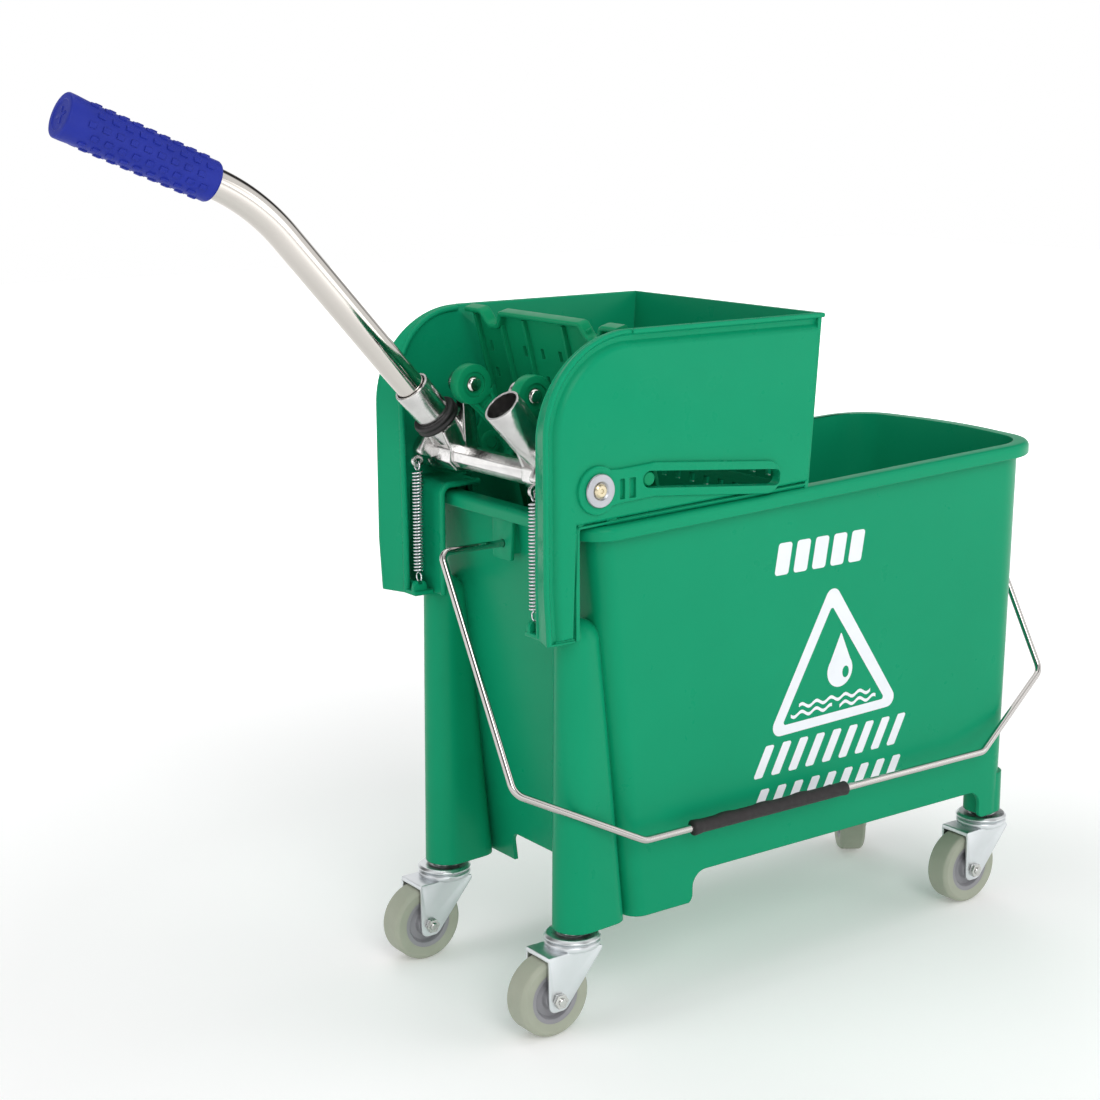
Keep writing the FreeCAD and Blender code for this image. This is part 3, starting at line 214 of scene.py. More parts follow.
GREEN = (0.004, 0.290, 0.138)
DEEP_GREEN = (0.004, 0.265, 0.112)
GLOSSY = {"bump": 0.012, "grain": 420, "specular": 0.09}
SATIN = {"bump": 0.03, "grain": 500, "edge": 0.6, "specular": 0.09}
PAINT = {
    "tub": material("tub_green", GREEN, 0.94, (0.27, 0.34), edge=1.2, **GLOSSY),
    "wringer": material("wringer_green", GREEN, 0.93, (0.26, 0.34), edge=0.8, **GLOSSY),
    "press": material("press_green", DEEP_GREEN, **SATIN),
    "link": material("link_green", DEEP_GREEN, **SATIN),
    "print": material("print_white", (0.80, 0.83, 0.87), 0.95, (0.4, 0.5), bump=0.04, cloud=60),
    "chrome": material("bright_chrome", (0.66, 0.625, 0.585), 0.96, (0.07, 0.13), 1.0, 0.01, 300),
    "wire": material("bail_chrome", (0.54, 0.52, 0.50), 0.95, (0.10, 0.17), 1.0, 0.02, 400),
    "cast": material("bright_casting", (0.70, 0.69, 0.68), 0.80, (0.14, 0.26), 1.0, 0.30, 240, 60, edge=0.8),
    "pin": material("pin_steel", (0.78, 0.76, 0.72), 0.9, (0.12, 0.2), 1.0, 0.03, 500),
    "zinc": material("zinc_plate", (0.76, 0.79, 0.80), 0.88, (0.26, 0.36), 1.0, 0.05, 500, 30, edge=0.4),
    "fork": material("zinc_fork", (0.78, 0.81, 0.83), 0.88, (0.28, 0.40), 1.0, 0.06, 420, 24, edge=0.6),
    "bolt": material("zinc_bolt", (0.66, 0.66, 0.64), 0.85, (0.2, 0.32), 1.0, 0.05, 500, 40),
    "brassy": material("bolt_brassy", (0.66, 0.58, 0.40), 0.8, (0.2, 0.35), 1.0, 0.08, 500, 60),
    "washer": material("washer_zinc", (0.46, 0.47, 0.50), 0.9, (0.3, 0.42), 1.0, 0.04, 600, 40),
    "spring": material("spring_wire", (0.74, 0.75, 0.78), 0.9, (0.14, 0.22), 1.0, 0.02, 500),
    "tread": material("tread_grey", (0.38, 0.405, 0.32), 0.9, (0.55, 0.7), bump=0.12, grain=900, cloud=26),
    "core": material("core_grey", (0.30, 0.30, 0.32), 0.88, (0.4, 0.55), bump=0.08, grain=700, cloud=40),
    "rubber": material("ring_rubber", (0.012, 0.010, 0.011), 0.6, (0.45, 0.6), bump=0.1, grain=700, cloud=50),
    "sleeve": material("bail_sleeve", (0.014, 0.010, 0.011), 0.65, (0.5, 0.65), 0.0, 0.2, 500, 40),
    "grip": material("grip_blue", (0.013, 0.026, 0.30), 0.85, (0.42, 0.55), 0.0, 0.06, 800, 30,
                     edge=0.3, specular=0.2),
    "socket": material("socket_black", (0.02, 0.02, 0.02), 0.7, (0.5, 0.6), bump=0.1, grain=600),
    "bush": material("bush_white", (0.55, 0.55, 0.53), 0.9, (0.4, 0.5), bump=0.05, grain=600),
}


def floor_material():
    """Near-white paper with a painted glow: emission that grows away from the part, so the studio has no
    horizon.
    """
    made = material("studio_floor", (0.93, 0.93, 0.93), 0.985, (0.75, 0.85), 0.0, 0.0, 80, 2, specular=0.1)
    tree = made.node_tree
    shader = tree.nodes["Principled BSDF"]
    coordinates = tree.nodes.new("ShaderNodeTexCoord")
    length = tree.nodes.new("ShaderNodeVectorMath")
    length.operation = "LENGTH"
    tree.links.new(coordinates.outputs["Object"], length.inputs[0])
    # painted glow: emission strength rises with distance from the part, from 0.16 near it to 0.9 far off
    glow = map_range(tree, length.outputs["Value"], 0.16, 0.9, 0.45, 2.4)
    shader.inputs["Emission Color"].default_value = (1, 1, 1, 1)
    tree.links.new(glow, shader.inputs["Emission Strength"])
    return made


# ------------------------------------------------------------------ mesh building
STRAIGHT = math.radians(179.0)


class Shape:
    """Vertices in millimetres from the middle of the caster rectangle, and faces over them."""

    def __init__(self, points=(), faces=()):
        self.points = [Vector(p) for p in points]
        self.faces = [list(f) for f in faces]

    def add(self, other):
        base = len(self.points)
        self.points += [p.copy() for p in other.points]
        self.faces += [[i + base for i in face] for face in other.faces]
        return self

    def moved(self, matrix):
        return Shape([matrix @ p for p in self.points], self.faces)

    def mirrored(self, axis=(0, 1, 0)):
        """The mirror image across the plane square to an axis."""
        flip = Matrix.Scale(-1, 3, axis)
        return Shape([flip @ p for p in self.points], [face[::-1] for face in self.faces])


def joined(shapes):
    whole = Shape()
    for shape in shapes:
        whole.add(shape)
    return whole


def circle(u, v, radius, steps=48):
    turns = [2 * math.pi * k / steps for k in range(steps)]
    return [(u + radius * math.cos(a), v + radius * math.sin(a)) for a in turns]


def facets(u, v, wide, tall, corner):
    """An octagon standing askew, as the rocker's bar is cast, with a corner radius at each point."""
    turns = [math.radians(45 * k + 20) for k in range(8)]
    return [(u + wide * math.cos(a), v + tall * math.sin(a), corner) for a in turns]


def around(centre, u, v, radius, sides):
    """Points of a circle about centre, in the plane of the unit vectors u and v."""
    turns = [2 * math.pi * k / sides for k in range(sides)]
    return [centre + (u * math.cos(a) + v * math.sin(a)) * radius for a in turns]


def along_at(line, i):
    """The direction of an open 2-D line at one of its points."""
    return (Vector(line[min(i + 1, len(line) - 1)]) - Vector(line[max(0, i - 1)])).normalized()


def loft(rings, closed=False):
    """Quads between rings of equal length; the ends are capped unless the rings close on themselves."""
    count = len(rings[0])
    points = [Vector(p) for ring in rings for p in ring]
    faces = []
    turns = len(rings) if closed else len(rings) - 1
    for i in range(turns):
        a = i * count
        b = ((i + 1) % len(rings)) * count
        for j in range(count):
            k = (j + 1) % count
            faces.append([a + j, a + k, b + k, b + j])
    if not closed:
        faces.append(list(range(count))[::-1])
        faces.append([(len(rings) - 1) * count + j for j in range(count)])
    return Shape(points, faces)


def turned(profile, steps=64):
    """A closed (radius, height) outline turned about +Z; points on the axis are merged later."""
    turns = [2 * math.pi * i / steps for i in range(steps)]
    return loft([[(r * math.cos(a), r * math.sin(a), h) for r, h in profile] for a in turns], closed=True)


def rounded_profile(corners, radius, steps=4):
    """A closed 2-D outline with each corner rounded; corners are (u, v) or (u, v, own radius)."""
    out = []
    count = len(corners)
    for i, corner in enumerate(corners):
        here = Vector(corner[:2])
        own = corner[2] if len(corner) > 2 else radius
        before = Vector(corners[i - 1][:2]) - here
        after = Vector(corners[(i + 1) % count][:2]) - here
        if own <= 0 or min(before.length, after.length) < 1e-6 or before.angle(after) > STRAIGHT:
            out.append(tuple(here))
            continue
        half = before.angle(after) / 2
        reach = min(own / math.tan(half), before.length * 0.49, after.length * 0.49)
        real = reach * math.tan(half)
        inwards = (before.normalized() + after.normalized()).normalized()
        centre = here + inwards * (real / math.sin(half))
        start = here + before.normalized() * reach - centre
        finish = here + after.normalized() * reach - centre
        angle = start.angle_signed(finish)
        out += [tuple(centre + Matrix.Rotation(-angle * k / steps, 2) @ start) for k in range(steps + 1)]
    return out


def path_through(corners, radii, step=4.0):
    """3-D points along straight runs joined by arcs."""
    out = [Vector(corners[0])]
    for before, here, after, radius in zip(corners, corners[1:], corners[2:], radii):
        here = Vector(here)
        back = (Vector(before) - here).normalized()
        ahead = (Vector(after) - here).normalized()
        half = back.angle(ahead) / 2
        reach = radius / math.tan(half)
        centre = here + (back + ahead).normalized() * (radius / math.sin(half))
        start = here + back * reach - centre
        finish = here + ahead * reach - centre
        axis = start.cross(finish).normalized()
        angle = start.angle(finish)
        steps = max(6, int(angle * radius / 1.2))
        out += [centre + Matrix.Rotation(angle * k / steps, 3, axis) @ start for k in range(steps + 1)]
    out.append(Vector(corners[-1]))
    dense = [out[0]]
    for a, b in zip(out, out[1:]):
        parts = max(1, int((b - a).length / step))
        dense += [a.lerp(b, k / parts) for k in range(1, parts + 1)]
    return dense


def tube(points, radius, sides=24, inner=None, capped=True):
    """A round rod or pipe along the points; radius is a number or one number for each point."""
    points = [Vector(p) for p in points]
    radii = radius if isinstance(radius, list) else [radius] * len(points)
    last = len(points) - 1
    tangents = [(points[min(last, i + 1)] - points[max(0, i - 1)]).normalized() for i in range(last + 1)]
    side = tangents[0].orthogonal().normalized()
    frames = []
    for i, tangent in enumerate(tangents):
        if i:
            side = tangents[i - 1].rotation_difference(tangent) @ side
        frames.append((side.copy(), tangent.cross(side)))
    rings = [around(point, u, v, r, sides) for point, (u, v), r in zip(points, frames, radii)]
    if inner:
        rings += [around(point, u, v, inner, sides) for point, (u, v) in zip(points[::-1], frames[::-1])]
        return loft(rings, closed=True)
    if capped:
        shrink, bulge = 0.82, 0.12
        caps = []
        for i, sign in ((0, -1), (last, 1)):
            centre = points[i] + tangents[i] * radii[i] * bulge * sign
            caps.append(around(centre, *frames[i], radii[i] * shrink, sides))
        rings = [caps[0], *rings, caps[1]]
    return loft(rings)


def rod(start, end, radius, sides=48, chamfer=0.5):
    """A straight rod with small chamfers."""
    length = (Vector(end) - Vector(start)).length
    c = min(chamfer, radius * 0.4, length * 0.3)
    profile = [(radius - c, 0), (radius, c), (radius, length - c), (radius - c, length)]
    rings = [[(u, v, h) for u, v in circle(0, 0, r, sides)] for r, h in profile]
    return placed(loft(rings), start, Vector(end) - Vector(start))


def placed(shape, place, axis=(0, 0, 1), spin=0.0):
    """Turns a shape made along +Z onto axis, spun about it, and moves it to place."""
    turn = Vector((0, 0, 1)).rotation_difference(Vector(axis).normalized()).to_matrix().to_4x4()
    return shape.moved(
        Matrix.Translation(Vector(place)) @ turn @ Matrix.Rotation(math.radians(spin), 4, "Z")
    )


def slab(outline, low, high, plane="xz", soft=0.6):
    """An outline carried across its plane from low to high, with softened edges."""
    count = len(outline)
    flat = [Vector(p) for p in outline]
    pairs = [(flat[i], flat[(i + 1) % count]) for i in range(count)]
    if sum(a.x * b.y - b.x * a.y for a, b in pairs) < 0:
        flat = flat[::-1]
    normals = []
    for i in range(count):
        a = flat[i] - flat[i - 1]
        b = flat[(i + 1) % count] - flat[i]
        n = Vector((a.y, -a.x)).normalized() + Vector((b.y, -b.x)).normalized()
        normals.append(n.normalized() if n.length > 1e-6 else Vector((0, 0)))
    levels = [(low, 0), (high, 0)]
    if soft > 0:
        steps = ((0, soft), (soft * 0.3, soft * 0.3), (soft, 0))
        levels = [(low + rise, inset) for rise, inset in steps]
        levels += [(high - rise, inset) for rise, inset in steps[::-1]]
    place = {
        "xz": lambda u, v, level: (u, level, v),
        "yz": lambda u, v, level: (level, u, v),
        "xy": lambda u, v, level: (u, v, level),
    }[plane]
    return loft([[place(*(p - n * inset), level) for p, n in zip(flat, normals)] for level, inset in levels])


def sided(outline, inner, outer, side, soft=0.6):
    """A slab between two distances from the middle plane, on the near side (-1) or the far side (1)."""
    low, high = sorted((inner * side, outer * side))
    return slab(outline, low, high, "xz", soft)


def block(x0, x1, y0, y1, z0, z1, soft=0.6):
    corners = [(x0, z0), (x1, z0), (x1, z1), (x0, z1)]
    return slab(rounded_profile(corners, soft, 3), y0, y1, "xz", soft)


def mesh_of(name, shape):
    mesh = bpy.data.meshes.new(name)
    mesh.from_pydata([ORIGIN + p * MM for p in shape.points], [], shape.faces)
    edit = bmesh.new()
    edit.from_mesh(mesh)
    bmesh.ops.remove_doubles(edit, verts=edit.verts, dist=1e-6)
    bmesh.ops.recalc_face_normals(edit, faces=edit.faces)
    edit.to_mesh(mesh)
    edit.free()
    return mesh


def scratch(shape):
    made = bpy.data.objects.new("scratch", mesh_of("scratch", shape))
    bpy.context.scene.collection.objects.link(made)
    return made


def boolean(target, tools, operation):
    """Applies one boolean for each tool to the target's mesh; EXACT steps in where MANIFOLD fails."""
    for tool in tools:
        other = scratch(tool) if isinstance(tool, Shape) else tool
        modifier = target.modifiers.new("boolean", "BOOLEAN")
        modifier.operation = operation
        modifier.object = other
        for solver in ("MANIFOLD", "EXACT"):
            modifier.solver = solver
            bpy.context.view_layer.update()
            graph = bpy.context.evaluated_depsgraph_get()
            result = bpy.data.meshes.new_from_object(target.evaluated_get(graph))
            if len(result.polygons) >= 4:
                break
        target.modifiers.clear()
        target.data = result
        bpy.data.objects.remove(other)
    return target


def shape_of(made):
    """Turns a scratch object back into a Shape and removes it."""
    points = [(v.co - ORIGIN) / MM for v in made.data.vertices]
    shape = Shape(points, [list(f.vertices) for f in made.data.polygons])
    bpy.data.objects.remove(made)
    return shape


def finish_piece(piece, name, paint, body, nodes, sharp=32):
    """Names, paints and smooths a piece, then ties it to its body and hides the CAD nodes it stands for."""
    piece.name = name
    piece.data.name = name
    piece.data.materials.clear()
    piece.data.materials.append(PAINT[paint])
    edit = bmesh.new()
    edit.from_mesh(piece.data)
    bmesh.ops.dissolve_degenerate(edit, edges=edit.edges, dist=2e-6)
    limit = math.radians(sharp)
    for face in edit.faces:
        face.smooth = True
    for line in edit.edges:
        line.smooth = len(line.link_faces) != 2 or line.calc_face_angle(0) < limit
    edit.to_mesh(piece.data)
    edit.free()
    if body:
        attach(piece, body)
    if nodes:
        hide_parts(*nodes)
    return piece


def piece(name, shape, paint, body, nodes=(), slot_name=None, sharp=32):
    made = scratch(shape)
    return finish_piece(made, name, paint, body, nodes, sharp)


def paint_node(node, paint):
    """Keeps a CAD node in sight and gives it a finish."""
    item = frame["nodes"][node]
    item.data.materials.clear()
    item.data.materials.append(PAINT[paint])
    for face in item.data.polygons:
        face.use_smooth = False


# ------------------------------------------------------------------ tub
FOOT = 74.5
RIM_LEVEL = 376.0
RIM_SLOPE = math.tan(math.radians(2.0))
WALL = 3.2
LOW = {"end": -170, "nose": 226, "half_end": 99, "half_nose": 96, "round_end": 13, "round_nose": 18,
       "bow": 6, "bow_radius": 700.0}
TOP = {"end": -208, "nose": 243, "half_end": 106, "half_nose": 99, "round_end": 15, "round_nose": 36,
       "bow": 12, "bow_radius": 450.0}
ARC_STEPS = 12


def rim_height(x):
    return RIM_LEVEL + RIM_SLOPE * x


def plan(stage, offset):
    """The tub's plan at one stage, pushed outwards by offset."""
    end = stage["end"] - offset
    nose = stage["nose"] + offset
    shoulder = nose - stage["bow"]
    half_end = stage["half_end"] + offset
    half_nose = stage["half_nose"] + offset
    bow = stage["bow_radius"]
    lift = bow * (1 / math.cos(math.atan(stage["bow"] / stage["half_nose"])) - 1)
    corners = [
        (end, -half_end, stage["round_end"] + offset),
        (shoulder, -half_nose, stage["round_nose"] + offset),
        (nose + lift, 0, bow),
        (shoulder, half_nose, stage["round_nose"] + offset),
        (end, half_end, stage["round_end"] + offset),
    ]
    return resampled(rounded_profile(corners, 0, ARC_STEPS))


def resampled(outline):
    """Adds even points along the plan's straight runs, the same number at every stage."""
    arc = ARC_STEPS + 1
    corners = [outline[i : i + arc] for i in range(0, len(outline), arc)]
    out = []
    for corner, following, fill in zip(corners, corners[1:] + corners[:1], (44, 5, 5, 44, 22)):
        here, there = Vector(corner[-1]), Vector(following[0])
        out += corner
        out += [tuple(here.lerp(there, k / (fill + 1))) for k in range(1, fill + 1)]
    return out


def tub_ring(share, offset):
    """The tub's outline at a share of the way from its foot to its rim."""
    ring = []
    for (x0, y0), (x1, y1) in zip(plan(LOW, offset), plan(TOP, offset)):
        ring.append((x0 + (x1 - x0) * share, y0 + (y1 - y0) * share, FOOT + (rim_height(x1) - FOOT) * share))
    return ring


def tub_solid(offset, low_share=0.0, high_share=1.0, steps=26):
    shares = [low_share + (high_share - low_share) * k / steps for k in range(steps + 1)]
    return loft([tub_ring(share, offset) for share in shares])


def rim_loop():
    """The rolled rim: a rounded lip that turns down, with a hollow under it."""
    corners = [(-WALL, -9), (-WALL, 0, 1.6), (9, 0, 4.2), (9, -10, 0.8), (6.6, -10, 0.8), (6.6, -3, 1.6),
               (0.4, -3, 1.2), (0.4, -9)]
    section = rounded_profile(corners, 0, 6)
    rings = []
    for inner, outer in zip(plan(TOP, 0.0), plan(TOP, 1.0)):
        n = (Vector(outer) - Vector(inner)).normalized()
        places = [(inner[0] + n.x * out, inner[1] + n.y * out, up) for out, up in section]
        rings.append([(x, y, rim_height(x) + up) for x, y, up in places])
    return loft(rings, closed=True)


def column(side):
    """A half-round column with a domed top, blended towards the end wall."""
    x, y = -210.0, 84.5 * side
    top, dome = 286.0, 14.9
    foot_size, top_size = (24, 17, 15), (4, 15, 14)
    levels = [(k / 20, 1.0) for k in range(21)]
    levels += [(1.0, math.cos(math.radians(a))) for a in (8, 18, 28, 38, 48, 58, 67, 75, 82, 87)]
    rings = []
    for share, shrink in levels:
        reach, r_post, r_web = ((a + (b - a) * share) * shrink for a, b in zip(foot_size, top_size))
        z = FOOT + (top - FOOT) * share + dome * math.sin(math.acos(shrink))
        lean = math.asin((r_post - r_web) / reach) if reach > 0.01 else 0
        centre = x + 2 * (1 - shrink)
        ring = []
        for k in range(17):
            a = math.pi / 2 - lean + (math.pi + 2 * lean) * k / 16
            ring.append((centre + r_post * math.cos(a), y + r_post * math.sin(a), z))
        for k in range(13):
            a = -math.pi / 2 + lean + (math.pi - 2 * lean) * k / 12
            ring.append((centre + reach + r_web * math.cos(a), y + r_web * math.sin(a), z))
        rings.append(ring)
    return loft(rings)


def arch_cutter():
    """Opens the long skirt walls between the legs, with rounded leg corners."""
    low, high, level = -114, 190, 98.0
    radius, flare, base = 22, 7.0, FOOT - 1.0
    half = [(high + 2 * flare, 40), (high + 2 * flare, base), (high, base, flare), (high, level, radius)]
    mirrored = [(low + high - corner[0], *corner[1:]) for corner in half[::-1]]
    return slab(rounded_profile(half + mirrored, 0, ARC_STEPS), -140, 140, "xz", 0)


def end_cutter(half, x0, x1, radius):
    """Opens one end of the skirt."""
    outline = rounded_profile([(-half, 40), (half, 40), (half, 98, radius), (-half, 98, radius)], 0, 10)
    return slab(outline, x0, x1, "yz", 0)


def bail_bracket(x0, x1, rise):
    """The plate that holds one end of the bail, with two ribs back to the wall."""
    foot, head = BAIL.z - 12, BAIL.z + rise
    outline = rounded_profile([(-13, head), (-10, foot, 2), (13, foot, 3), (13, head)], 0.5, 4)
    ribs = [block(x0 + 1, x1, y - 1.4, y + 1.4, BAIL.z - 7, head - 1, 0.5) for y in (-8, 11)]
    return [slab(outline, x0, x0 + 3.2, "yz", 0.6)] + ribs


def build_tub():
    """The tub in one piece: shell, columns, brackets, floor, caster posts and rim."""
    shell = scratch(tub_solid(0.0))
    nose = [shape.mirrored((1, 0, 0)) for shape in bail_bracket(-256.0, -225, 33)]
    boolean(shell, [column(-1), column(1)] + bail_bracket(-212.5, -190, 24) + nose, "UNION")
    boolean(shell, [tub_solid(-WALL, -0.03, 1.03)], "DIFFERENCE")
    floor = scratch(tub_solid(-WALL + 0.6, 0.0, 1.0, 4))
    low, high = 108, 111.5
    post, well, depth, bail_hole = 15, 13.5, 28.5, 2.95
    level = slab([(-400, -200), (400, -200), (400, 200), (-400, 200)], low, high, "xy", 0)
    boolean(floor, [level], "INTERSECT")
    posts = []
    for name in ("nose_near", "nose_far"):
        place = local(stems[name])
        posts.append(rod((place.x, place.y, FOOT), (place.x, place.y, low), post, 48, 0.3))
    boolean(shell, posts, "UNION")
    boolean(shell, [floor], "UNION")
    boolean(shell, [rim_loop()], "UNION")
    cutters = [arch_cutter(), end_cutter(50, -192, -160, 9), end_cutter(56, 200, 250, 14)]
    for name in CASTERS:
        place = local(stems[name])
        x = place.x + (1 if name.startswith("rear") else 0)
        cutters.append(rod((x, place.y, FOOT - 2), (x, place.y, FOOT + depth), well, 40, 0.1))
    for x0, x1 in ((-222, -205), (244, 262)):
        cutters.append(rod((x0, 0, BAIL.z), (x1, 0, BAIL.z), bail_hole, 24, 0.1))
    boolean(shell, cutters, "DIFFERENCE")
    return finish_piece(shell, "tub_moulding", "tub", "bucket", ["bucket_tub"], 30)


def wall_y(x, z):
    """The near wall's outer face."""
    ends = []
    for stage in (LOW, TOP):
        share = (x - stage["end"]) / (stage["nose"] - stage["bow"] - stage["end"])
        ends.append(-stage["half_end"] + (stage["half_end"] - stage["half_nose"]) * share)
    share = (z - FOOT) / (rim_height(x) - FOOT)
    return ends[0] + (ends[1] - ends[0]) * share


def decal(outline, holes=()):
    """A thin printed patch on the near wall, from (x, z) outlines."""
    curve = bpy.data.curves.new("decal", "CURVE")
    curve.dimensions = "2D"
    curve.fill_mode = "BOTH"
    for loop in [outline, *holes]:
        spline = curve.splines.new("POLY")
        spline.points.add(len(loop) - 1)
        for point, (u, v) in zip(spline.points, loop):
            point.co = (u, v, 0, 1)
        spline.use_cyclic_u = True
    item = bpy.data.objects.new("decal", curve)
    bpy.context.scene.collection.objects.link(item)
    graph = bpy.context.evaluated_depsgraph_get()
    flat = bpy.data.meshes.new_from_object(item.evaluated_get(graph))
    bpy.data.objects.remove(item)
    proud = 0.12
    points = [(v.co.x, wall_y(v.co.x, v.co.y) - proud, v.co.y) for v in flat.vertices]
    return Shape(points, [f.vertices for f in flat.polygons])


def stripe(x, low, width, tall, lean, corner):
    """One leaning bar of the print, from its lower left corner."""
    reach = lean * tall
    box = [(x, low), (x + width, low), (x + width + reach, low + tall), (x + reach, low + tall)]
    return decal(rounded_profile(box, corner, 4))


def build_print():
    """Generic white print: a band of bars, a triangle with a drop over ripples, and two striped bands."""
    shapes = [stripe(-43 + 18.5 * k, 311, 13.5, 24, 0.16, 2.4) for k in range(5)]
    outer = rounded_profile([(16.5, 300), (-45, 186.5), (92.5, 190)], 7.5, 8)
    inner = rounded_profile([(16.5, 280), (-30.5, 194.5), (76, 197)], 2.0, 6)
    shapes.append(decal(outer, [inner]))
    turns = [math.radians(38 - 256 * k / 24) for k in range(25)]
    drop = [(27, 258)] + [(27 + 13 * math.cos(a), 228 + 13 * math.sin(a)) for a in turns]
    turns = [math.radians(12 * k) for k in range(30)]
    hole = [(33 + 3.4 * math.cos(a), 226 + 4.6 * math.sin(a)) for a in turns]
    shapes.append(decal(rounded_profile(drop, 0.6, 3), [hole]))
    for start, end, level in ((-14, 60, 208), (-22, 20, 202), (28, 66, 202)):
        line = [start + (end - start) * k / 40 for k in range(41)]
        wave = [(u, level + 1.6 * math.sin(u * 0.42)) for u in line]
        shapes.append(decal(wave + [(u, v - 2.6) for u, v in wave[::-1]]))
    for low, tall in ((157.5, 24.0), (131.0, 17.0)):
        shapes += [stripe(-58 + 17.2 * k, low, 9.0, tall, 0.5, 1.6) for k in range(9)]
    return piece("tub_print", joined(shapes), "print", "bucket", sharp=80)


# ------------------------------------------------------------------ wringer housing
CHEEK = 109.0
SKIN = 3.5
SLOPE = math.radians(5.5)
ROUND = 2.4
GUIDE = (-166.0, 398.0)
LEFT, LEVEL = -252.0, 501.5
ARCH = (-182.0, 431.5)
FULL_FLANGE = 23.0


def arch_points(inset_x, inset_z):
    """The cheek's rounded upper corner, stepped inwards from the left and from the top."""
    wide, tall = ARCH[0] - LEFT - inset_x, LEVEL - ARCH[1] - inset_z
    turns = [math.radians(90 * k / 24) for k in range(25)]
    return [(ARCH[0] - wide * math.cos(a), ARCH[1] + tall * math.sin(a)) for a in turns]


def cheek_points(inset=0.0):
    """The cheek's outline in x and z, from its leg round the arch to the front corner."""
    left, leg, front = LEFT + inset, -224.0, -18.0
    points = [(leg - 3, 291), (left + 2.5, 291), (left, 330)]
    points += arch_points(inset, inset * 0.5)
    points += [(-8, LEVEL - inset * 0.5), (front, rim_height(front) + 0.5), (leg, rim_height(leg) + 0.5)]
    return points


def slot_point(distance, rise=0.0):
    """A point of the cheek slot, from the guide pin at rest along the slot and square to it."""
    return (
        GUIDE[0] + distance * math.cos(SLOPE) + rise * math.sin(SLOPE),
        GUIDE[1] - distance * math.sin(SLOPE) + rise * math.cos(SLOPE),
    )


def long_round(start, end, radius, steps=16):
    """A round-ended outline along the slot's centre line."""
    out = []
    for centre, first in ((end, -90), (start, 90)):
        for k in range(steps + 1):
            a = math.radians(first + 180 * k / steps)
            out.append(slot_point(centre + radius * math.cos(a), radius * math.sin(a)))
    return out


def band_ring(inset, y, low=0.0):
    """The cheek's outline stepped inwards, at one depth; low lifts its lower edge clear of the rim."""
    left = LEFT + inset
    ring = [(-227.5 - low, 293.0 + low), (left + 2.0, 293.0 + low), (left, 332.0)]
    ring += arch_points(inset, inset)
    ring += [(-8.5 - inset * 0.25, LEVEL - inset), (-19.5, RIM_LEVEL + 2.5 + low)]
    ring.append((-224.5 - low, RIM_LEVEL - 5 + low))
    return [(x, y, z) for x, z in ring]


def band_groove():
    """The hollow band that follows the cheek's edge inside its outer bead."""
    steps = ((2.6, 1.0), (3.0, -0.3), (4.6, -2.2), (7.0, -3.0))
    return loft([band_ring(inset, CHEEK + rise) for inset, rise in steps])


def face_plate():
    """The raised middle of the cheek, rounded over into the band."""
    steps = ((7.5, -3.8, 0.6), (8.6, -2.4, 0.9), (10.0, -0.9, 1.3), (11.6, 0.2, 1.9), (13.5, 0.9, 3.0))
    return loft([band_ring(inset, CHEEK + rise, low) for inset, rise, low in steps])


def flange_depth(z):
    """How far the cheek's edge wall reaches inwards at a height: full below, tapering over the arch."""
    return FULL_FLANGE - 17.5 * min(1.0, max(0.0, (z - 425) / 74))


def edge_wall():
    """The far cheek's edge wall from the leg's foot over the arch, with a rounded bead on its edge."""
    outline = cheek_points()[:28]
    inner = cheek_points(9.0)[:28]
    thick = 2.8
    rings = []
    bead = []
    for i, (a, b) in enumerate(zip(outline, inner)):
        a, b = Vector(a), Vector(b)
        depth = flange_depth(a.y)
        if i > 1:
            b = a.lerp(b, depth / FULL_FLANGE)
            along = along_at(outline, i)
            inward = Vector((along.y, -along.x))
        else:
            b = a + Vector((7.5 * i, 0.0))
            inward = Vector((0.6, 0.8)) if i else Vector((0, 1))
        y_in, y_out = CHEEK - depth, CHEEK - ROUND
        c, d = b + inward * thick, a + inward * thick
        rings.append([(a.x, y_out, a.y), (b.x, y_in, b.y), (c.x, y_in, c.y), (d.x, y_out, d.y)])
        bead.append(Vector((b.x + inward.x * 1.6, y_in, b.y + inward.y * 1.6)))
    radii = [2.2 if flange_depth(z) < FULL_FLANGE else 2.5 for _, z in outline]
    return [loft(rings), tube(bead[1:], radii[1:], 14)]


def leg_wall():
    """The leg's wall beside the rim, with its round shoulder over the rim."""
    path = rounded_profile([(-226, 291.8), (-226, 375.5, 9), (-192, 375.8)], 0, 8)
    thick, half, edge = 3.0, 1.5, 62
    rings = []
    bead = []
    for i, p in enumerate(path):
        along = along_at(path, i)
        side = Vector((along.y, -along.x))
        p = Vector(p)
        q, r = p + side * thick, p + side * half
        rings.append([(p.x, CHEEK - 1, p.y), (p.x, edge, p.y), (q.x, edge, q.y), (q.x, CHEEK - 1, q.y)])
        bead.append((r.x, edge - 0.5, r.y))
    return [loft(rings), tube(bead, 2.3, 14)]


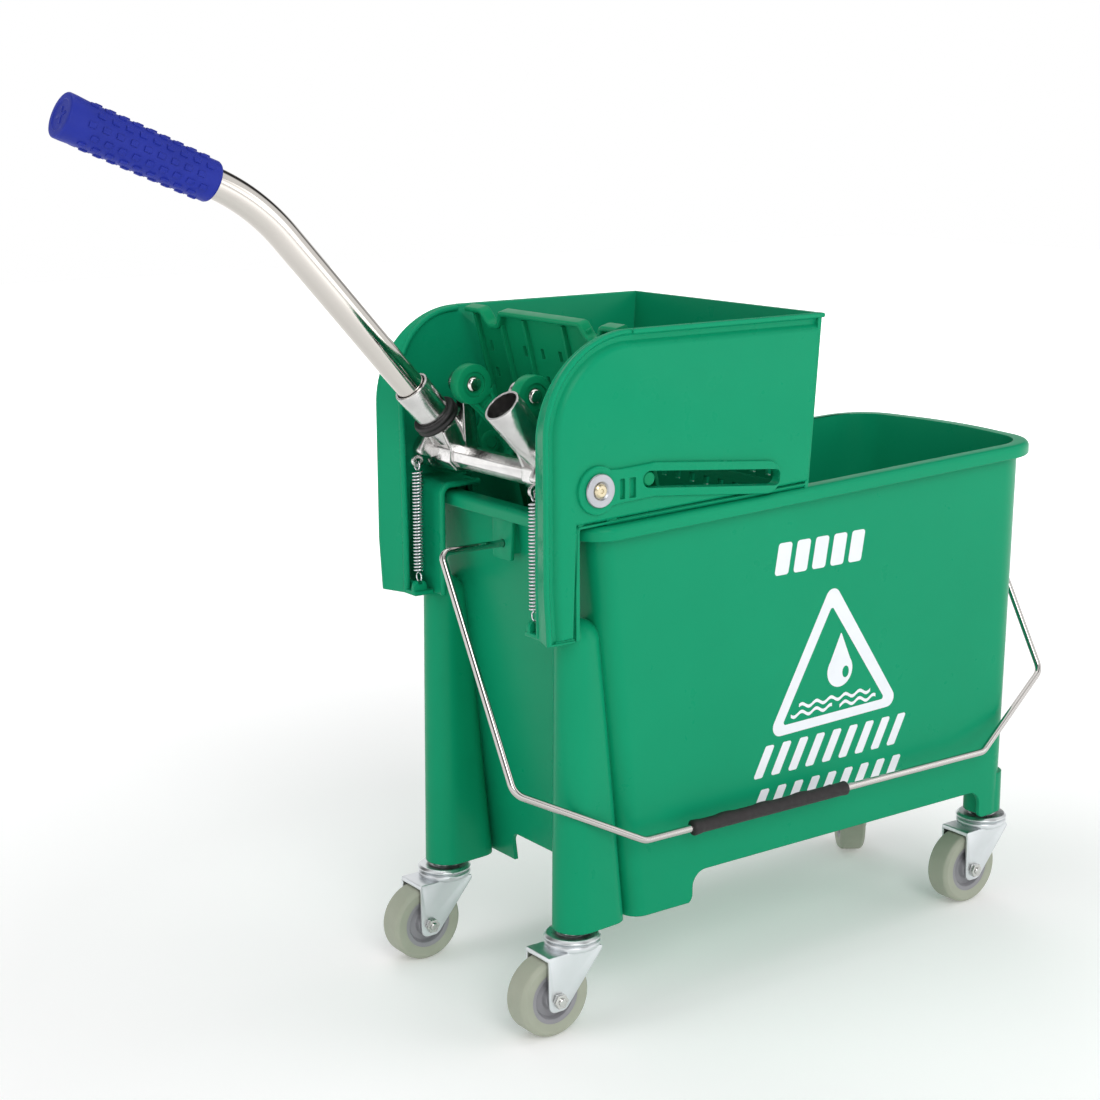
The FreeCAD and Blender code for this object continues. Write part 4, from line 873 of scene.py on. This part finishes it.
def far_cheek():
    """What the far cheek carries, and what is cut out of it."""
    inside, outside = CHEEK - 1, 116
    slot_frame, neck_face = 112.9, 112.7
    adds = edge_wall() + leg_wall() + [face_plate()]
    adds.append(slab(long_round(4, 107, 12.0), inside, slot_frame, "xz", 1.5))
    neck = [(-210, 408.5), (-190, 408), (-161, 409.5), (-161, 385.5), (-190, 384), (-210, 381.5)]
    adds.append(slab(rounded_profile(neck, 3.0, 5), inside, neck_face, "xz", 1.5))
    adds.append(slab(circle(PIVOT.x, PIVOT.z, 16.8, 64), inside, 112.4, "xz", 1.2))
    adds.append(block(-180, -8.5, CHEEK - 0.8, CHEEK + 1.9, LEVEL - 3.5, LEVEL - 0.1, 1.2))
    adds.append(block(-243, -227, 71, inside, 291, 294.2, 0.5))
    lug = rounded_profile([(-243, 292), (-231.5, 292), (-231.5, 302, 5), (-243, 302, 5)], 0.5, 5)
    adds.append(slab(lug, 73, 77, "xz", 0.5))
    adds.append(block(-237.7, -235.3, 76, inside, 292, 300, 0.4))
    cuts = [slab(long_round(-1, 113, 5.9), CHEEK - 9, outside, "xz", 0)]
    for x0, x1 in ((-192.6, -188.4), (-184.6, -179)):
        vent = rounded_profile([(x0, 387), (x1, 387), (x1, 401), (x0, 401)], 0.8, 3)
        cuts.append(slab(vent, 110, outside, "xz", 0))
    cuts.append(rod((PIVOT.x, CHEEK - 10, PIVOT.z), (PIVOT.x, outside, PIVOT.z), 8.0, 40, 0.1))
    cuts.append(rod((-237, 70, 301), (-237, 80, 301), 2.0, 20, 0.1))
    return adds, cuts


def basket_shapes():
    """The drainer: four tapering walls, a floor, and the cutters that open it."""
    def ring(x0, x1, half, z):
        outline = rounded_profile([(x0, -half), (x1, -half), (x1, half), (x0, half)], 7, 6)
        return [(x, y, z) for x, y in outline]

    outside = loft([ring(-176, -38, 92.5, 262), ring(-182, -18, 98.5, 376)])
    inside = loft([ring(-173, -41, 89.5, 265.2), ring(-178.8, -21.2, 95.3, 378)])
    hole = 3.2
    holes = []
    for i in range(11):
        y = -85 + 17 * i
        for k in range(7):
            z = 280 + 17 * k
            holes.append(block(-60, 0, y - hole, y + hole, z - hole, z + hole, 0))
        for k in range(8):
            x = -160 + 16 * k
            holes.append(block(x - hole, x + hole, y - hole, y + hole, 255, 275, 0))
    rear = block(-200, -160, -86, 86, 345, 400, 0)
    return outside, inside, joined(holes), rear


def build_housing():
    """The wringer's housing: basket, front wall and both cheeks in one moulding."""
    adds, cuts = far_cheek()
    panel = scratch(slab(cheek_points(), CHEEK - SKIN - 1.5, CHEEK, "xz", ROUND))
    panel = shape_of(boolean(panel, [band_groove()], "DIFFERENCE"))
    outside, inside, holes, rear = basket_shapes()
    body = scratch(outside)
    boolean(body, [inside, rear], "DIFFERENCE")
    front = []
    thick = 3.4
    for z, x in ((LEVEL, -8.0), (374.0, -18.0)):
        front.append([(x, -CHEEK, z), (x, CHEEK, z), (x - thick, CHEEK, z), (x - thick, -CHEEK, z)])
    extra = [loft(front), block(-10.2, -6.2, -CHEEK - 1.9, CHEEK + 1.9, LEVEL - 3.5, LEVEL - 0.1, 1.2)]
    ledge = [(x, rim_height(x) + 0.5) for x in (-200, -18)]
    ledge += [(x, z + 3) for x, z in ledge[::-1]]
    extra += [sided(ledge, 95, CHEEK - 1, side, 0) for side in SIDES.values()]
    boolean(body, extra, "UNION")
    boolean(body, [holes], "DIFFERENCE")
    for mirror in (False, True):
        side_panel = scratch(panel.mirrored() if mirror else panel)
        boolean(side_panel, [a.mirrored() if mirror else a for a in adds], "UNION")
        boolean(side_panel, [c.mirrored() if mirror else c for c in cuts], "DIFFERENCE")
        boolean(body, [side_panel], "UNION")
    finish_piece(body, "housing_moulding", "wringer", "wringer", ["wringer_housing"], 30)


# ------------------------------------------------------------------ press plate and links
LEAN = math.radians(14.7)
LINK_EYE = (-169.5, 398.0)


def plate_frame():
    """The press plate's own frame: origin on the guide pins, Z up the plate."""
    return Matrix.Translation((GUIDE[0], 0, GUIDE[1])) @ Matrix.Rotation(-LEAN, 4, "Y")


def lip_ribbon():
    """The folded lip along the plate's top, dipping at each lever."""
    half = [(0, 103), (50, 103), (55.5, 93.5), (58, 92), (64, 92), (67, 93.5), (71.5, 101), (75, 103)]
    half.append((93.5, 103))
    smooth = rounded_open([(-y, v) for y, v in half[:0:-1]] + half, 3.5)
    section = rounded_profile([(10.5, 0), (20, 0), (20, -4.0), (10.5, -4.0)], 1.6, 4)
    rings = []
    for i, (y, v) in enumerate(smooth):
        along = along_at(smooth, i)
        rings.append([(u, y - along.y * rise, v + along.x * rise) for u, rise in section])
    return loft(rings)


def rounded_open(points, radius):
    """An open 2-D line with rounded corners."""
    out = [points[0]]
    for before, here, after in zip(points, points[1:], points[2:]):
        a, h, b = Vector(before), Vector(here), Vector(after)
        back, ahead = (a - h), (b - h)
        if back.angle(ahead) > math.radians(178):
            out.append(tuple(h))
            continue
        reach = min(radius, back.length * 0.45, ahead.length * 0.45)
        p, q = h + back.normalized() * reach, h + ahead.normalized() * reach
        for k in range(6):
            share = k / 5
            out.append(tuple(p.lerp(h, share).lerp(h.lerp(q, share), share)))
    out.append(points[-1])
    return out


def build_press_plate():
    """The press plate: two perforated leaves, a folded lip, ribs and the guide bosses."""
    back, face = 16.6, 19.9
    pin_hole, link_hole = 4.95, 2.95
    half = [(93.5, -18), (93.5, 101), (75, 101), (71.5, 99), (67, 91), (58, 90), (55.5, 91.5), (50, 101)]
    mirror = [(-y, v) for y, v in half[::-1]]
    wing = rounded_profile(mirror[-1:] + half + mirror[:-1], 1.2, 3)
    body = scratch(slab(wing, back, face, "yz", 0.7).moved(plate_frame()))
    shapes = [
        slab([(-85.5, -117.5), (85.5, -117.5), (85.5, -14), (-85.5, -14)], back, face, "yz", 0.7),
        lip_ribbon(),
    ]
    for y in (-86, -48, -29.5, 29.5, 48, 86):
        low = -34 if abs(y) < 60 else -24
        outline = rounded_profile([(17.5, 44), (10, 36), (-8, 12, 4), (-9, -7, 5), (17.5, low)], 1.5, 4)
        shapes.append(slab(outline, y - 1.5, y + 1.5, "xz", 0.5))
    upper_rib = [(17.5, 98), (13.2, 97), (12.6, 10), (17.5, 0)]
    lower_rib = [(17.5, -20), (10, -24), (9, -112), (17.5, -114)]
    shapes += [slab(upper_rib, y - 1.2, y + 1.2, "xz", 0.5) for y in (-86, -54, -24, 24, 54, 86)]
    shapes += [slab(lower_rib, y - 1.2, y + 1.2, "xz", 0.4) for y in (-66, 0, 66)]
    shapes.append(block(6.5, 18, -84, 84, -117.5, -114, 0.6))
    shapes.append(block(8, 18, -92, 92, -19.5, -16.5, 0.6))
    shapes += [sided(circle(0, 0, 8.8), 82, 90, side, 0.8) for side in SIDES.values()]
    boolean(body, [s.moved(plate_frame()) for s in shapes], "UNION")
    holes = []
    for i in range(8):
        y = -77 + 22 * i
        for k in range(9):
            v = -100 + 21 * k
            holes.append(block(15, 24, y - 1.9, y + 1.9, v, v + 8, 0))
    cuts = [joined(holes)]
    cuts += [rod((0, 78 * side, 0), (0, 95 * side, 0), pin_hole, 32, 0.1) for side in SIDES.values()]
    cuts.append(rod((-3.4, -52, 0.9), (-3.4, 52, 0.9), link_hole, 24, 0.1))
    boolean(body, [c.moved(plate_frame()) for c in cuts], "DIFFERENCE")
    finish_piece(body, "press_moulding", "press", "plate", ["press_plate"], 30)


def link_frame(side):
    """A link's own frame: origin on its crank pin, X towards its lower eye."""
    start = Vector((CRANK.x, 38.5 * side, CRANK.z))
    angle = math.atan2(CRANK.z - LINK_EYE[1], LINK_EYE[0] - CRANK.x)
    return Matrix.Translation(start) @ Matrix.Rotation(angle, 4, "Y")


def build_link(name, side):
    """A link with a snap-fit ear, a ribbed arm and a wide lower eye."""
    length = math.hypot(LINK_EYE[0] - CRANK.x, LINK_EYE[1] - CRANK.z)
    far = length - 20
    ear, eye, half = 14.8, 12.4, 5.4
    pin_hole, eye_hole, recess = 6.05, 9.8, 9.2
    arm = [(-2, 10.5), (22, 7.5), (far, 6.5), (length, 11), (length, -11), (far, -6.5), (22, -8.5), (-2, -12)]
    body = scratch(slab(rounded_profile(arm, 2.0, 4), -1.6, 1.6, "xz", 0.4).moved(link_frame(side)))
    hook = rounded_profile([(9.5, 4.0), (14.2, 3.4), (15.0, 9.5, 2), (11.8, 9.0, 1)], 0.8, 3)
    adds = [
        slab(circle(0, 0, ear, 64), -half, half, "xz", 1.4),
        slab(circle(length, 0, eye, 64), -half, half, "xz", 1.0),
        slab(hook, -5.2, 5.2, "xz", 0.6),
    ]
    for sign in (-1, 1):
        line = [(2, 11.0 * sign), (22, 7.4 * sign), (far, 6.3 * sign), (length - 4, 9.0 * sign)]
        adds.append(slab(line + [(u, v - 2.6 * sign) for u, v in line[::-1]], -4.4, 4.4, "xz", 0.5))
    for u in (20, 33, 46):
        adds.append(slab([(u - 1, -7), (u + 1, -7), (u + 1, 7), (u - 1, 7)], -3.6, 3.6, "xz", 0.4))
    boolean(body, [s.moved(link_frame(side)) for s in adds], "UNION")
    cuts = [
        rod((0, -9, 0), (0, 9, 0), pin_hole, 40, 0.1),
        rod((length, -9, 0), (length, 9, 0), eye_hole, 48, 0.1),
        rod((0, -9, 0), (0, -4.0, 0), recess, 48, 0.1),
        rod((0, 4.0, 0), (0, 9, 0), recess, 48, 0.1),
    ]
    boolean(body, [c.moved(link_frame(side)) for c in cuts], "DIFFERENCE")
    node = f"link_arm_{name}"
    finish_piece(body, f"link_{name}_moulding", "link", f"link_{name}", [node], 30)


# ------------------------------------------------------------------ rocker, lever and springs
TUBE_SLOPE = math.radians(48.4)
SOCKET_UP = Vector((-math.cos(TUBE_SLOPE), 0, math.sin(TUBE_SLOPE)))
SOCKET_Y = 58
SPRING = (-237.0, 75.0)


def socket_point(distance, side=1):
    """A point on a lever socket's centre line, from the foot of the socket."""
    return Vector((-204.5, SOCKET_Y * side, 397.0)) + SOCKET_UP * distance


def build_rocker():
    """One bright casting: crossbar, bosses, two flared sockets, gussets, crank lugs and spring lugs."""
    x, z = -217.0, 398.0
    bar, eye_z, bore, mouth = 9.0, 392, 11.05, 11.9
    body = scratch(slab(rounded_profile(facets(x, z, bar, bar, 1.6), 0, 4), -92, 92, "xz", 0.8))
    stations = [(-2, 10.6), (4, 11.2), (22, 11.6), (30, 12.4), (36, 13.1), (44, 13.2), (58, 13.5),
                (70, 13.75), (71, 13.4)]
    gusset = rounded_profile([(x - 4, z - 6), (x + 9, z - 5), (-222, 424), (-233, 417)], 2, 4)
    web = rounded_profile([(x - 6, z - 5), (x + 4, z + 6), (-232, 411), (-239, z, 3)], 1.5, 4)
    elbow = rounded_profile(facets(x + 1, z, 12.6, 12.2, 2), 0, 4)
    eye = slab(circle(SPRING[0], eye_z, 4.6, 32), 73.2, 76.8, "xz", 0.7)
    adds = []
    cuts = []
    for side in (-1, 1):
        adds.append(sided(circle(PIVOT.x, PIVOT.z, 12.8, 56), 84, 104, side, 1.2))
        points = [socket_point(t, side) for t, _ in stations]
        adds.append(tube(points, [r for _, r in stations], 48, capped=False))
        for reach in (-11.5, 11.5):
            y = (SOCKET_Y + reach) * side
            adds.append(slab(gusset, y - 1.7, y + 1.7, "xz", 0.5))
        adds.append(sided(web, 69, 77, side, 1.2))
        adds.append(eye if side > 0 else eye.mirrored())
        cuts.append(rod((SPRING[0], 68 * side, eye_z), (SPRING[0], 82 * side, eye_z), 2.1, 20, 0.1))
        adds.append(sided(elbow, 45.5, 71, side, 1.4))
        for depth, radius in ((25, bore), (44, mouth)):
            cuts.append(rod(socket_point(depth, side), socket_point(90, side), radius, 48, 0.1))
    lug = [(x + 4, z - 4), (x + 15, z - 2), (CRANK.x + 7, CRANK.z - 2), (CRANK.x - 3, CRANK.z - 2)]
    for low, high in ((-32, -22), (45, 55)):
        adds.append(slab(lug, low + 0.3, high - 0.3, "xz", 0.8))
        adds.append(slab(circle(CRANK.x, CRANK.z, 9.3, 48), low, high, "xz", 1.0))
    boolean(body, adds, "UNION")
    boolean(body, cuts, "DIFFERENCE")
    finish_piece(body, "rocker_cast", "cast", "rocker", ["rocker_casting"], 34)


def lever_path():
    """The lever's two straight runs and its bend: start, corner, end, last direction and bend radius."""
    bend = math.radians(25.0)
    radius, seated, run, last = 150.0, 27, 192.2, 104.7
    start = socket_point(seated)
    left = Vector((-math.sin(TUBE_SLOPE), 0, -math.cos(TUBE_SLOPE)))
    reach = radius * math.tan(bend / 2)
    corner = socket_point(seated + run + reach)
    ahead = (SOCKET_UP * math.cos(bend) + left * math.sin(bend)).normalized()
    return start, corner, corner + ahead * (reach + last), ahead, radius


def build_lever():
    """The chromed pipe; gives back its end and direction for the grip."""
    start, corner, end, ahead, radius = lever_path()
    outer, inner = 10.95, 9.2
    pipe = tube(path_through([start, corner, end], [radius], 5), outer, 56, inner=inner)
    piece("lever_pipe", pipe, "chrome", "rocker", ["lever_tube"], "lever_chrome")
    return end, ahead


def build_grip(end, ahead):
    """The moulded grip with rows of raised studs and a shallow cross in its end."""
    length, lines = 113.0, 12
    base = end - ahead * (length - 8.5)
    outer = [(11.05, 0, 0.3), (13.6, 0, 0.8), (14.4, 1.6, 0.8), (14.3, 8), (14.6, 60), (15.0, 98),
             (15.5, 108), (15.5, 112.9, 1.3), (11.0, 112.9, 0.5), (10.6, 112.4, 0.3), (0.0, 112.3),
             (0.0, 104.5), (11.05, 104.5)]
    grip = scratch(placed(turned(rounded_profile(outer, 0, 5), 72), base, ahead))
    stud = block(-2.6, 2.6, -1.9, 1.9, -1.2, 0.95, 0.5)
    upright = Matrix.Rotation(math.radians(90), 4, "Y")
    studs = []
    for line in range(lines):
        turn = Matrix.Rotation(2 * math.pi * line / lines, 4, "Z")
        for k in range(9):
            along = 10.5 + k * 10.1 + (5.0 if line % 2 else 0.0)
            lift = Matrix.Translation((14.25 + along * 0.0075, 0, along))
            studs.append(placed(stud.moved(turn @ lift @ upright), base, ahead))
    boolean(grip, [joined(studs)], "UNION")
    bar = block(-6.0, 6.0, -1.3, 1.3, 110.0, 112.7, 0.2)
    boolean(grip, [placed(bar, base, ahead, spin) for spin in (20, 110)], "UNION")
    finish_piece(grip, "lever_handgrip", "grip", "rocker", ["lever_grip"], 34)


def build_ring():
    """The ribbed rubber ring on the used socket."""
    corners = [(13.25, 0.2, 0.6), (16.7, 0.0, 1.6), (17.7, 2.2, 1.2), (16.8, 4.2, 0.8), (17.7, 6.3, 1.2),
               (16.7, 8.4, 1.6), (13.25, 8.2, 0.6)]
    shape = placed(turned(rounded_profile(corners, 0, 6), 64), socket_point(35), SOCKET_UP)
    piece("retaining_oring", shape, "rubber", "rocker", ["retaining_ring"], "ring_rubber")


def build_spring(name, side):
    """A close-wound return spring with a hook at each end."""
    x, y = SPRING[0], SPRING[1] * side
    wire, mean, hook = 0.68, 3.62, 3.4
    top, foot = 388.6, 304.6
    low, high = foot + 4.2, top - 4.2
    steps = 14
    count = 31 * steps
    coil = []
    for k in range(count + 1):
        a = 2 * math.pi * k / steps
        coil.append((x + mean * math.cos(a), y + mean * math.sin(a), low + (high - low) * k / count))
    shape = tube(coil, wire, 8)
    for level, sign in ((top, 1), (foot, -1)):
        turns = [math.radians(-80 + 330 * k / 24) + 1.57 for k in range(25)]
        bend = [(x, y + hook * math.sin(a), level - hook * sign * math.cos(a)) for a in turns]
        shape.add(tube(bend, wire, 8))
    made = scratch(shape)
    finish_piece(made, f"return_coil_{name}", "spring", None, [f"return_spring_{name}"], 60)
    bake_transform(made)


def turned_piece(name, corners, arc, steps, place, axis, paint, body, node, slot_name):
    """A piece turned about an axis from the corners of its (radius, height) outline."""
    shape = placed(turned(rounded_profile(corners, 0, arc), steps), place, axis)
    return piece(name, shape, paint, body, [node], slot_name)


def build_small_parts():
    """Pins, bushes, washers and bolts of the wringer."""
    washer = [(4.1, 0.0), (11.4, 0.0, 0.4), (11.9, 1.0, 0.5), (11.2, 2.2, 0.6), (6.6, 2.1, 0.5),
              (5.4, 1.0, 0.3), (4.1, 1.0)]
    bolt = [(0, 0), (3.0, 0), (4.0, 1), (4.0, 31.2), (5.1, 31.2, 0.2), (5.1, 32.0, 0.4), (3.7, 33.2, 0.6),
            (1.6, 33.3, 0.3), (1.3, 32.5, 0.2), (0, 32.4)]
    bush = [(4.06, 0), (11.3, 0, 0.3), (11.3, 0.7, 0.3), (7.98, 0.7), (7.98, 7.9, 0.3), (4.06, 7.9, 0.3)]
    pin = [(0, 0), (5.4, 0, 0.5), (5.95, 0.6, 0.3), (5.95, 21.5, 1.2), (4.6, 23.6, 1.8), (0, 24.5)]
    pin_foot = {"near": -21.6, "far": 55.4}
    for name, side in SIDES.items():
        turned_piece(f"pivot_disc_{name}", washer, 4, 64, (PIVOT.x, 112.8 * side, PIVOT.z), (0, side, 0),
                     "washer", "rocker", f"pivot_washer_{name}", "zinc_washer")
        turned_piece(f"pivot_screw_{name}", bolt, 4, 40, (PIVOT.x, 82.5 * side, PIVOT.z), (0, side, 0),
                     "brassy", "rocker", f"pivot_bolt_{name}", "bolt_brassy")
        turned_piece(f"pivot_sleeve_{name}", bush, 3, 48, (PIVOT.x, 104.8 * side, PIVOT.z), (0, side, 0),
                     "bush", "wringer", f"pivot_bush_{name}", "bush_white")
        turned_piece(f"crank_stud_{name}", pin, 5, 48, (CRANK.x, pin_foot[name], CRANK.z), (0, -1, 0),
                     "pin", "rocker", f"crank_pin_{name}", "pin_steel")
    (x, z), (u, v) = GUIDE, LINK_EYE
    guides = joined([rod((x, 82 * s, z), (x, 110.9 * s, z), 4.95, 32, 0.8) for s in (-1, 1)])
    piece("guide_studs", guides, "press", "plate", ["guide_pins"], "guide_plastic")
    links = joined([rod((u, 28 * s, v), (u, 49.5 * s, v), 2.95, 24, 0.4) for s in (-1, 1)])
    piece("link_studs", links, "pin", "plate", ["link_pins"], "pin_steel")


# ------------------------------------------------------------------ bail
def sleeve_radius(along, length):
    """The bail grip's radius: a flared mouth, a plain run and a small bead at its end."""
    mouth, bead, soft = 9, 7, 1.5
    radius = 5.05 + 0.5 * max(0.0, along - (length - bead)) / bead
    if along < mouth:
        radius = 5.8 - 0.75 * (along / mouth) ** 2
    end = min(along, length - along, soft)
    return radius - (1 - end / soft) ** 2 * 1.4


def build_bail():
    """The wire handle and its soft sleeve, leaning out from the near side as in the photo."""
    lean = Matrix.Translation(BAIL) @ Matrix.Rotation(math.radians(-29.9), 4, "X")
    half, knee, reach, flat = 265.0, -178.0, -231.0, 171.5
    wire = 2.7
    corners = [
        (-207.5, 0, 0), (-half, 0, 0), (-half, 0, knee), (-flat, 0, reach),
        (flat, 0, reach), (half, 0, knee), (half, 0, 0), (247.5, 0, 0),
    ]
    points = path_through(corners, [7, 12, 14, 14, 12, 7], 5)
    piece("bail_rod", tube(points, wire, 24).moved(lean), "wire", "bail", ["bail_wire"], "bail_chrome")
    start, length, steps, first, pitch = -129.0, 151.0, 120, 32, 36.5
    rings = []
    for i in range(steps + 1):
        along = length * i / steps
        wave = math.cos(2 * math.pi * (along - first) / pitch) if 14 < along < length - 14 else 0.0
        ring = []
        for k in range(40):
            a = 2 * math.pi * k / 40
            r = sleeve_radius(along, length) + max(0.0, math.cos(a)) ** 2 * max(0.0, wave) * 0.85
            ring.append((start + along, r * math.sin(a), reach + r * math.cos(a)))
        rings.append(ring)
    piece("bail_handgrip", loft(rings).moved(lean), "sleeve", "bail", ["bail_grip"], "bail_sleeve", 50)


# ------------------------------------------------------------------ casters
TRAIL, AXLE = -22.0, 29.5


def fork_shapes():
    """The pressed fork about its own swivel axis, trailing towards -X."""
    back, level = TRAIL - 8.6, AXLE - 9
    leg = [(back, 62.2, 1.0), (back, AXLE + 2, 3), (back + 0.6, level, 8.6), (TRAIL + 6, level, 7.5),
           (16, 59.0, 3), (16.5, 62.2, 1.5)]
    legs = [sided(rounded_profile(leg, 0, 8), 12.2, 14.4, side, 0.5) for side in SIDES.values()]
    web = rounded_profile([(-30.4, -14.3, 2), (14, -14.3, 6), (14, 14.3, 6), (-30.4, 14.3, 2)], 0, 6)
    lip = rounded_profile([(-31.0, 59.2), (-28.8, 59.2), (-28.8, 62.5), (-30.4, 62.5)], 0.5, 3)
    crown = [(4.1, 62.0), (19.0, 62.0, 0.8), (20.4, 64.0, 0.8), (20.4, 66.0, 0.8), (18.4, 67.8, 0.8),
             (4.1, 67.8)]
    shoulder = [(12.0, 60.8), (16.8, 60.8, 1.5), (19.4, 63.2, 2.0), (12.0, 64.0)]
    adds = legs + [slab(lip, -14.3, 14.3, "xz", 0.4)]
    adds += [turned(rounded_profile(shoulder, 0, 5), 72), turned(rounded_profile(crown, 0, 4), 72)]
    return slab(web, 60.6, 62.6, "xy", 0.4), adds


def build_nut(axle, name, body, node):
    """A hexagon nut on the axle bolt's end."""
    corner = 5.0 / math.cos(math.pi / 6)
    low, high = -18.4, -14.6
    nut = scratch(slab(rounded_profile(circle(0, 0, corner, 6), 0.5, 3), low, high, "xy", 0.5).moved(axle))
    boolean(nut, [rod((0, 0, low - 0.6), (0, 0, high + 0.6), 3.0, 24, 0.05).moved(axle)], "DIFFERENCE")
    finish_piece(nut, name, "bolt", body, [node])


def build_caster(name):
    """One caster, its fork turned as the wheel's joint axis says."""
    place = local(stems[name])
    joint = JOINTS[f"wheel_{name}_spin"]
    swivel = math.atan2(-joint["axis"][0], joint["axis"][1])
    foot = Matrix.Translation((place.x, place.y, 0)) @ Matrix.Rotation(swivel, 4, "Z")
    axle = foot @ Matrix.Translation((TRAIL, 0, AXLE)) @ Matrix.Rotation(math.radians(-90), 4, "X")
    fork_body, wheel_body = f"swivel_{name}", f"wheel_{name}"
    plate, adds = fork_shapes()
    fork = scratch(plate.moved(foot))
    boolean(fork, [s.moved(foot) for s in adds], "UNION")
    hole = rod((TRAIL, -20, AXLE), (TRAIL, 20, AXLE), 3.05, 24, 0.1)
    well = rod((0, 0, 50), (0, 0, 80), 4.05, 24, 0.1)
    boolean(fork, [hole.moved(foot), well.moved(foot)], "DIFFERENCE")
    finish_piece(fork, f"caster_{name}_fork", "fork", fork_body, [f"caster_fork_{name}"], 32)
    stem = [(0, 57.9), (6.3, 57.9, 0.6), (6.3, 60.2, 0.4), (4.0, 60.2), (4.0, 68.3), (20.2, 68.3, 0.5),
            (20.9, 69.4, 0.7), (18.6, 71.4, 1.6), (12.0, 71.7, 1.0), (9.4, 70.9, 0.8), (8.0, 71.0, 0.4),
            (8.0, 74.3, 0.3), (4.9, 74.3), (4.9, 100), (0, 100)]
    tyre = [(19.4, -9.8), (21.0, -10.3, 0.6), (26.4, -10.9, 1.8), (29.4, -8.4, 3.2), (29.4, 8.4, 3.2),
            (26.4, 10.9, 1.8), (21.0, 10.3, 0.6), (19.4, 9.8)]
    core = [(5.06, -11.5, 0.3), (8.8, -11.5, 0.8), (9.4, -6.4, 0.8), (14.6, -5.6, 0.8), (16.2, -9.2, 0.7),
            (19.4, -9.7), (19.4, 9.7), (16.2, 9.2, 0.7), (14.6, 5.6, 0.8), (9.4, 6.4, 0.8),
            (8.8, 11.5, 0.8), (5.06, 11.5, 0.3)]
    sleeve = [(3.06, -11.9), (4.98, -11.9, 0.2), (4.98, 11.9, 0.2), (3.06, 11.9)]
    bolt = [(0, -19.9), (2.2, -19.9, 0.3), (2.95, -19.2, 0.3), (2.95, 14.5), (6.0, 14.5, 0.3),
            (6.0, 16.4, 0.6), (4.2, 18.2, 1.0), (0, 18.6)]
    for suffix, outline, arc, steps, where, paint, body, node, slot_name in (
        ("stem", stem, 5, 72, foot, "zinc", "bucket", "stem", "zinc_plate"),
        ("tread", tyre, 6, 96, axle, "tread", wheel_body, "tyre", "tread_grey"),
        ("hub", core, 5, 72, axle, "core", wheel_body, "core", "core_grey"),
        ("sleeve", sleeve, 3, 40, axle, "bolt", fork_body, "bush", "zinc_plate"),
        ("bolt", bolt, 4, 40, axle, "bolt", fork_body, "bolt", "zinc_bolt"),
    ):
        shape = turned(rounded_profile(outline, 0, arc), steps).moved(where)
        piece(f"caster_{name}_{suffix}", shape, paint, body, [f"caster_{node}_{name}"], slot_name)
    build_nut(axle, f"caster_{name}_nut", fork_body, f"caster_nut_{name}")


def build_floor():
    """A wide pale studio floor, just under the wheels."""
    half, level = 6000.0, -0.6
    corners = [(-half, -half, level), (half, -half, level), (half, half, level), (-half, half, level)]
    floor = scratch(Shape(corners, [[0, 1, 2, 3]]))
    floor.name = "studio_floor"
    floor.data.materials.append(floor_material())


build_tub()
build_print()
build_housing()
build_press_plate()
for link_name, link_side in SIDES.items():
    build_link(link_name, link_side)
    build_spring(link_name, link_side)
build_rocker()
build_grip(*build_lever())
build_ring()
build_small_parts()
build_bail()
for caster_name in CASTERS:
    build_caster(caster_name)
paint_node("caster_sockets", "socket")
build_floor()
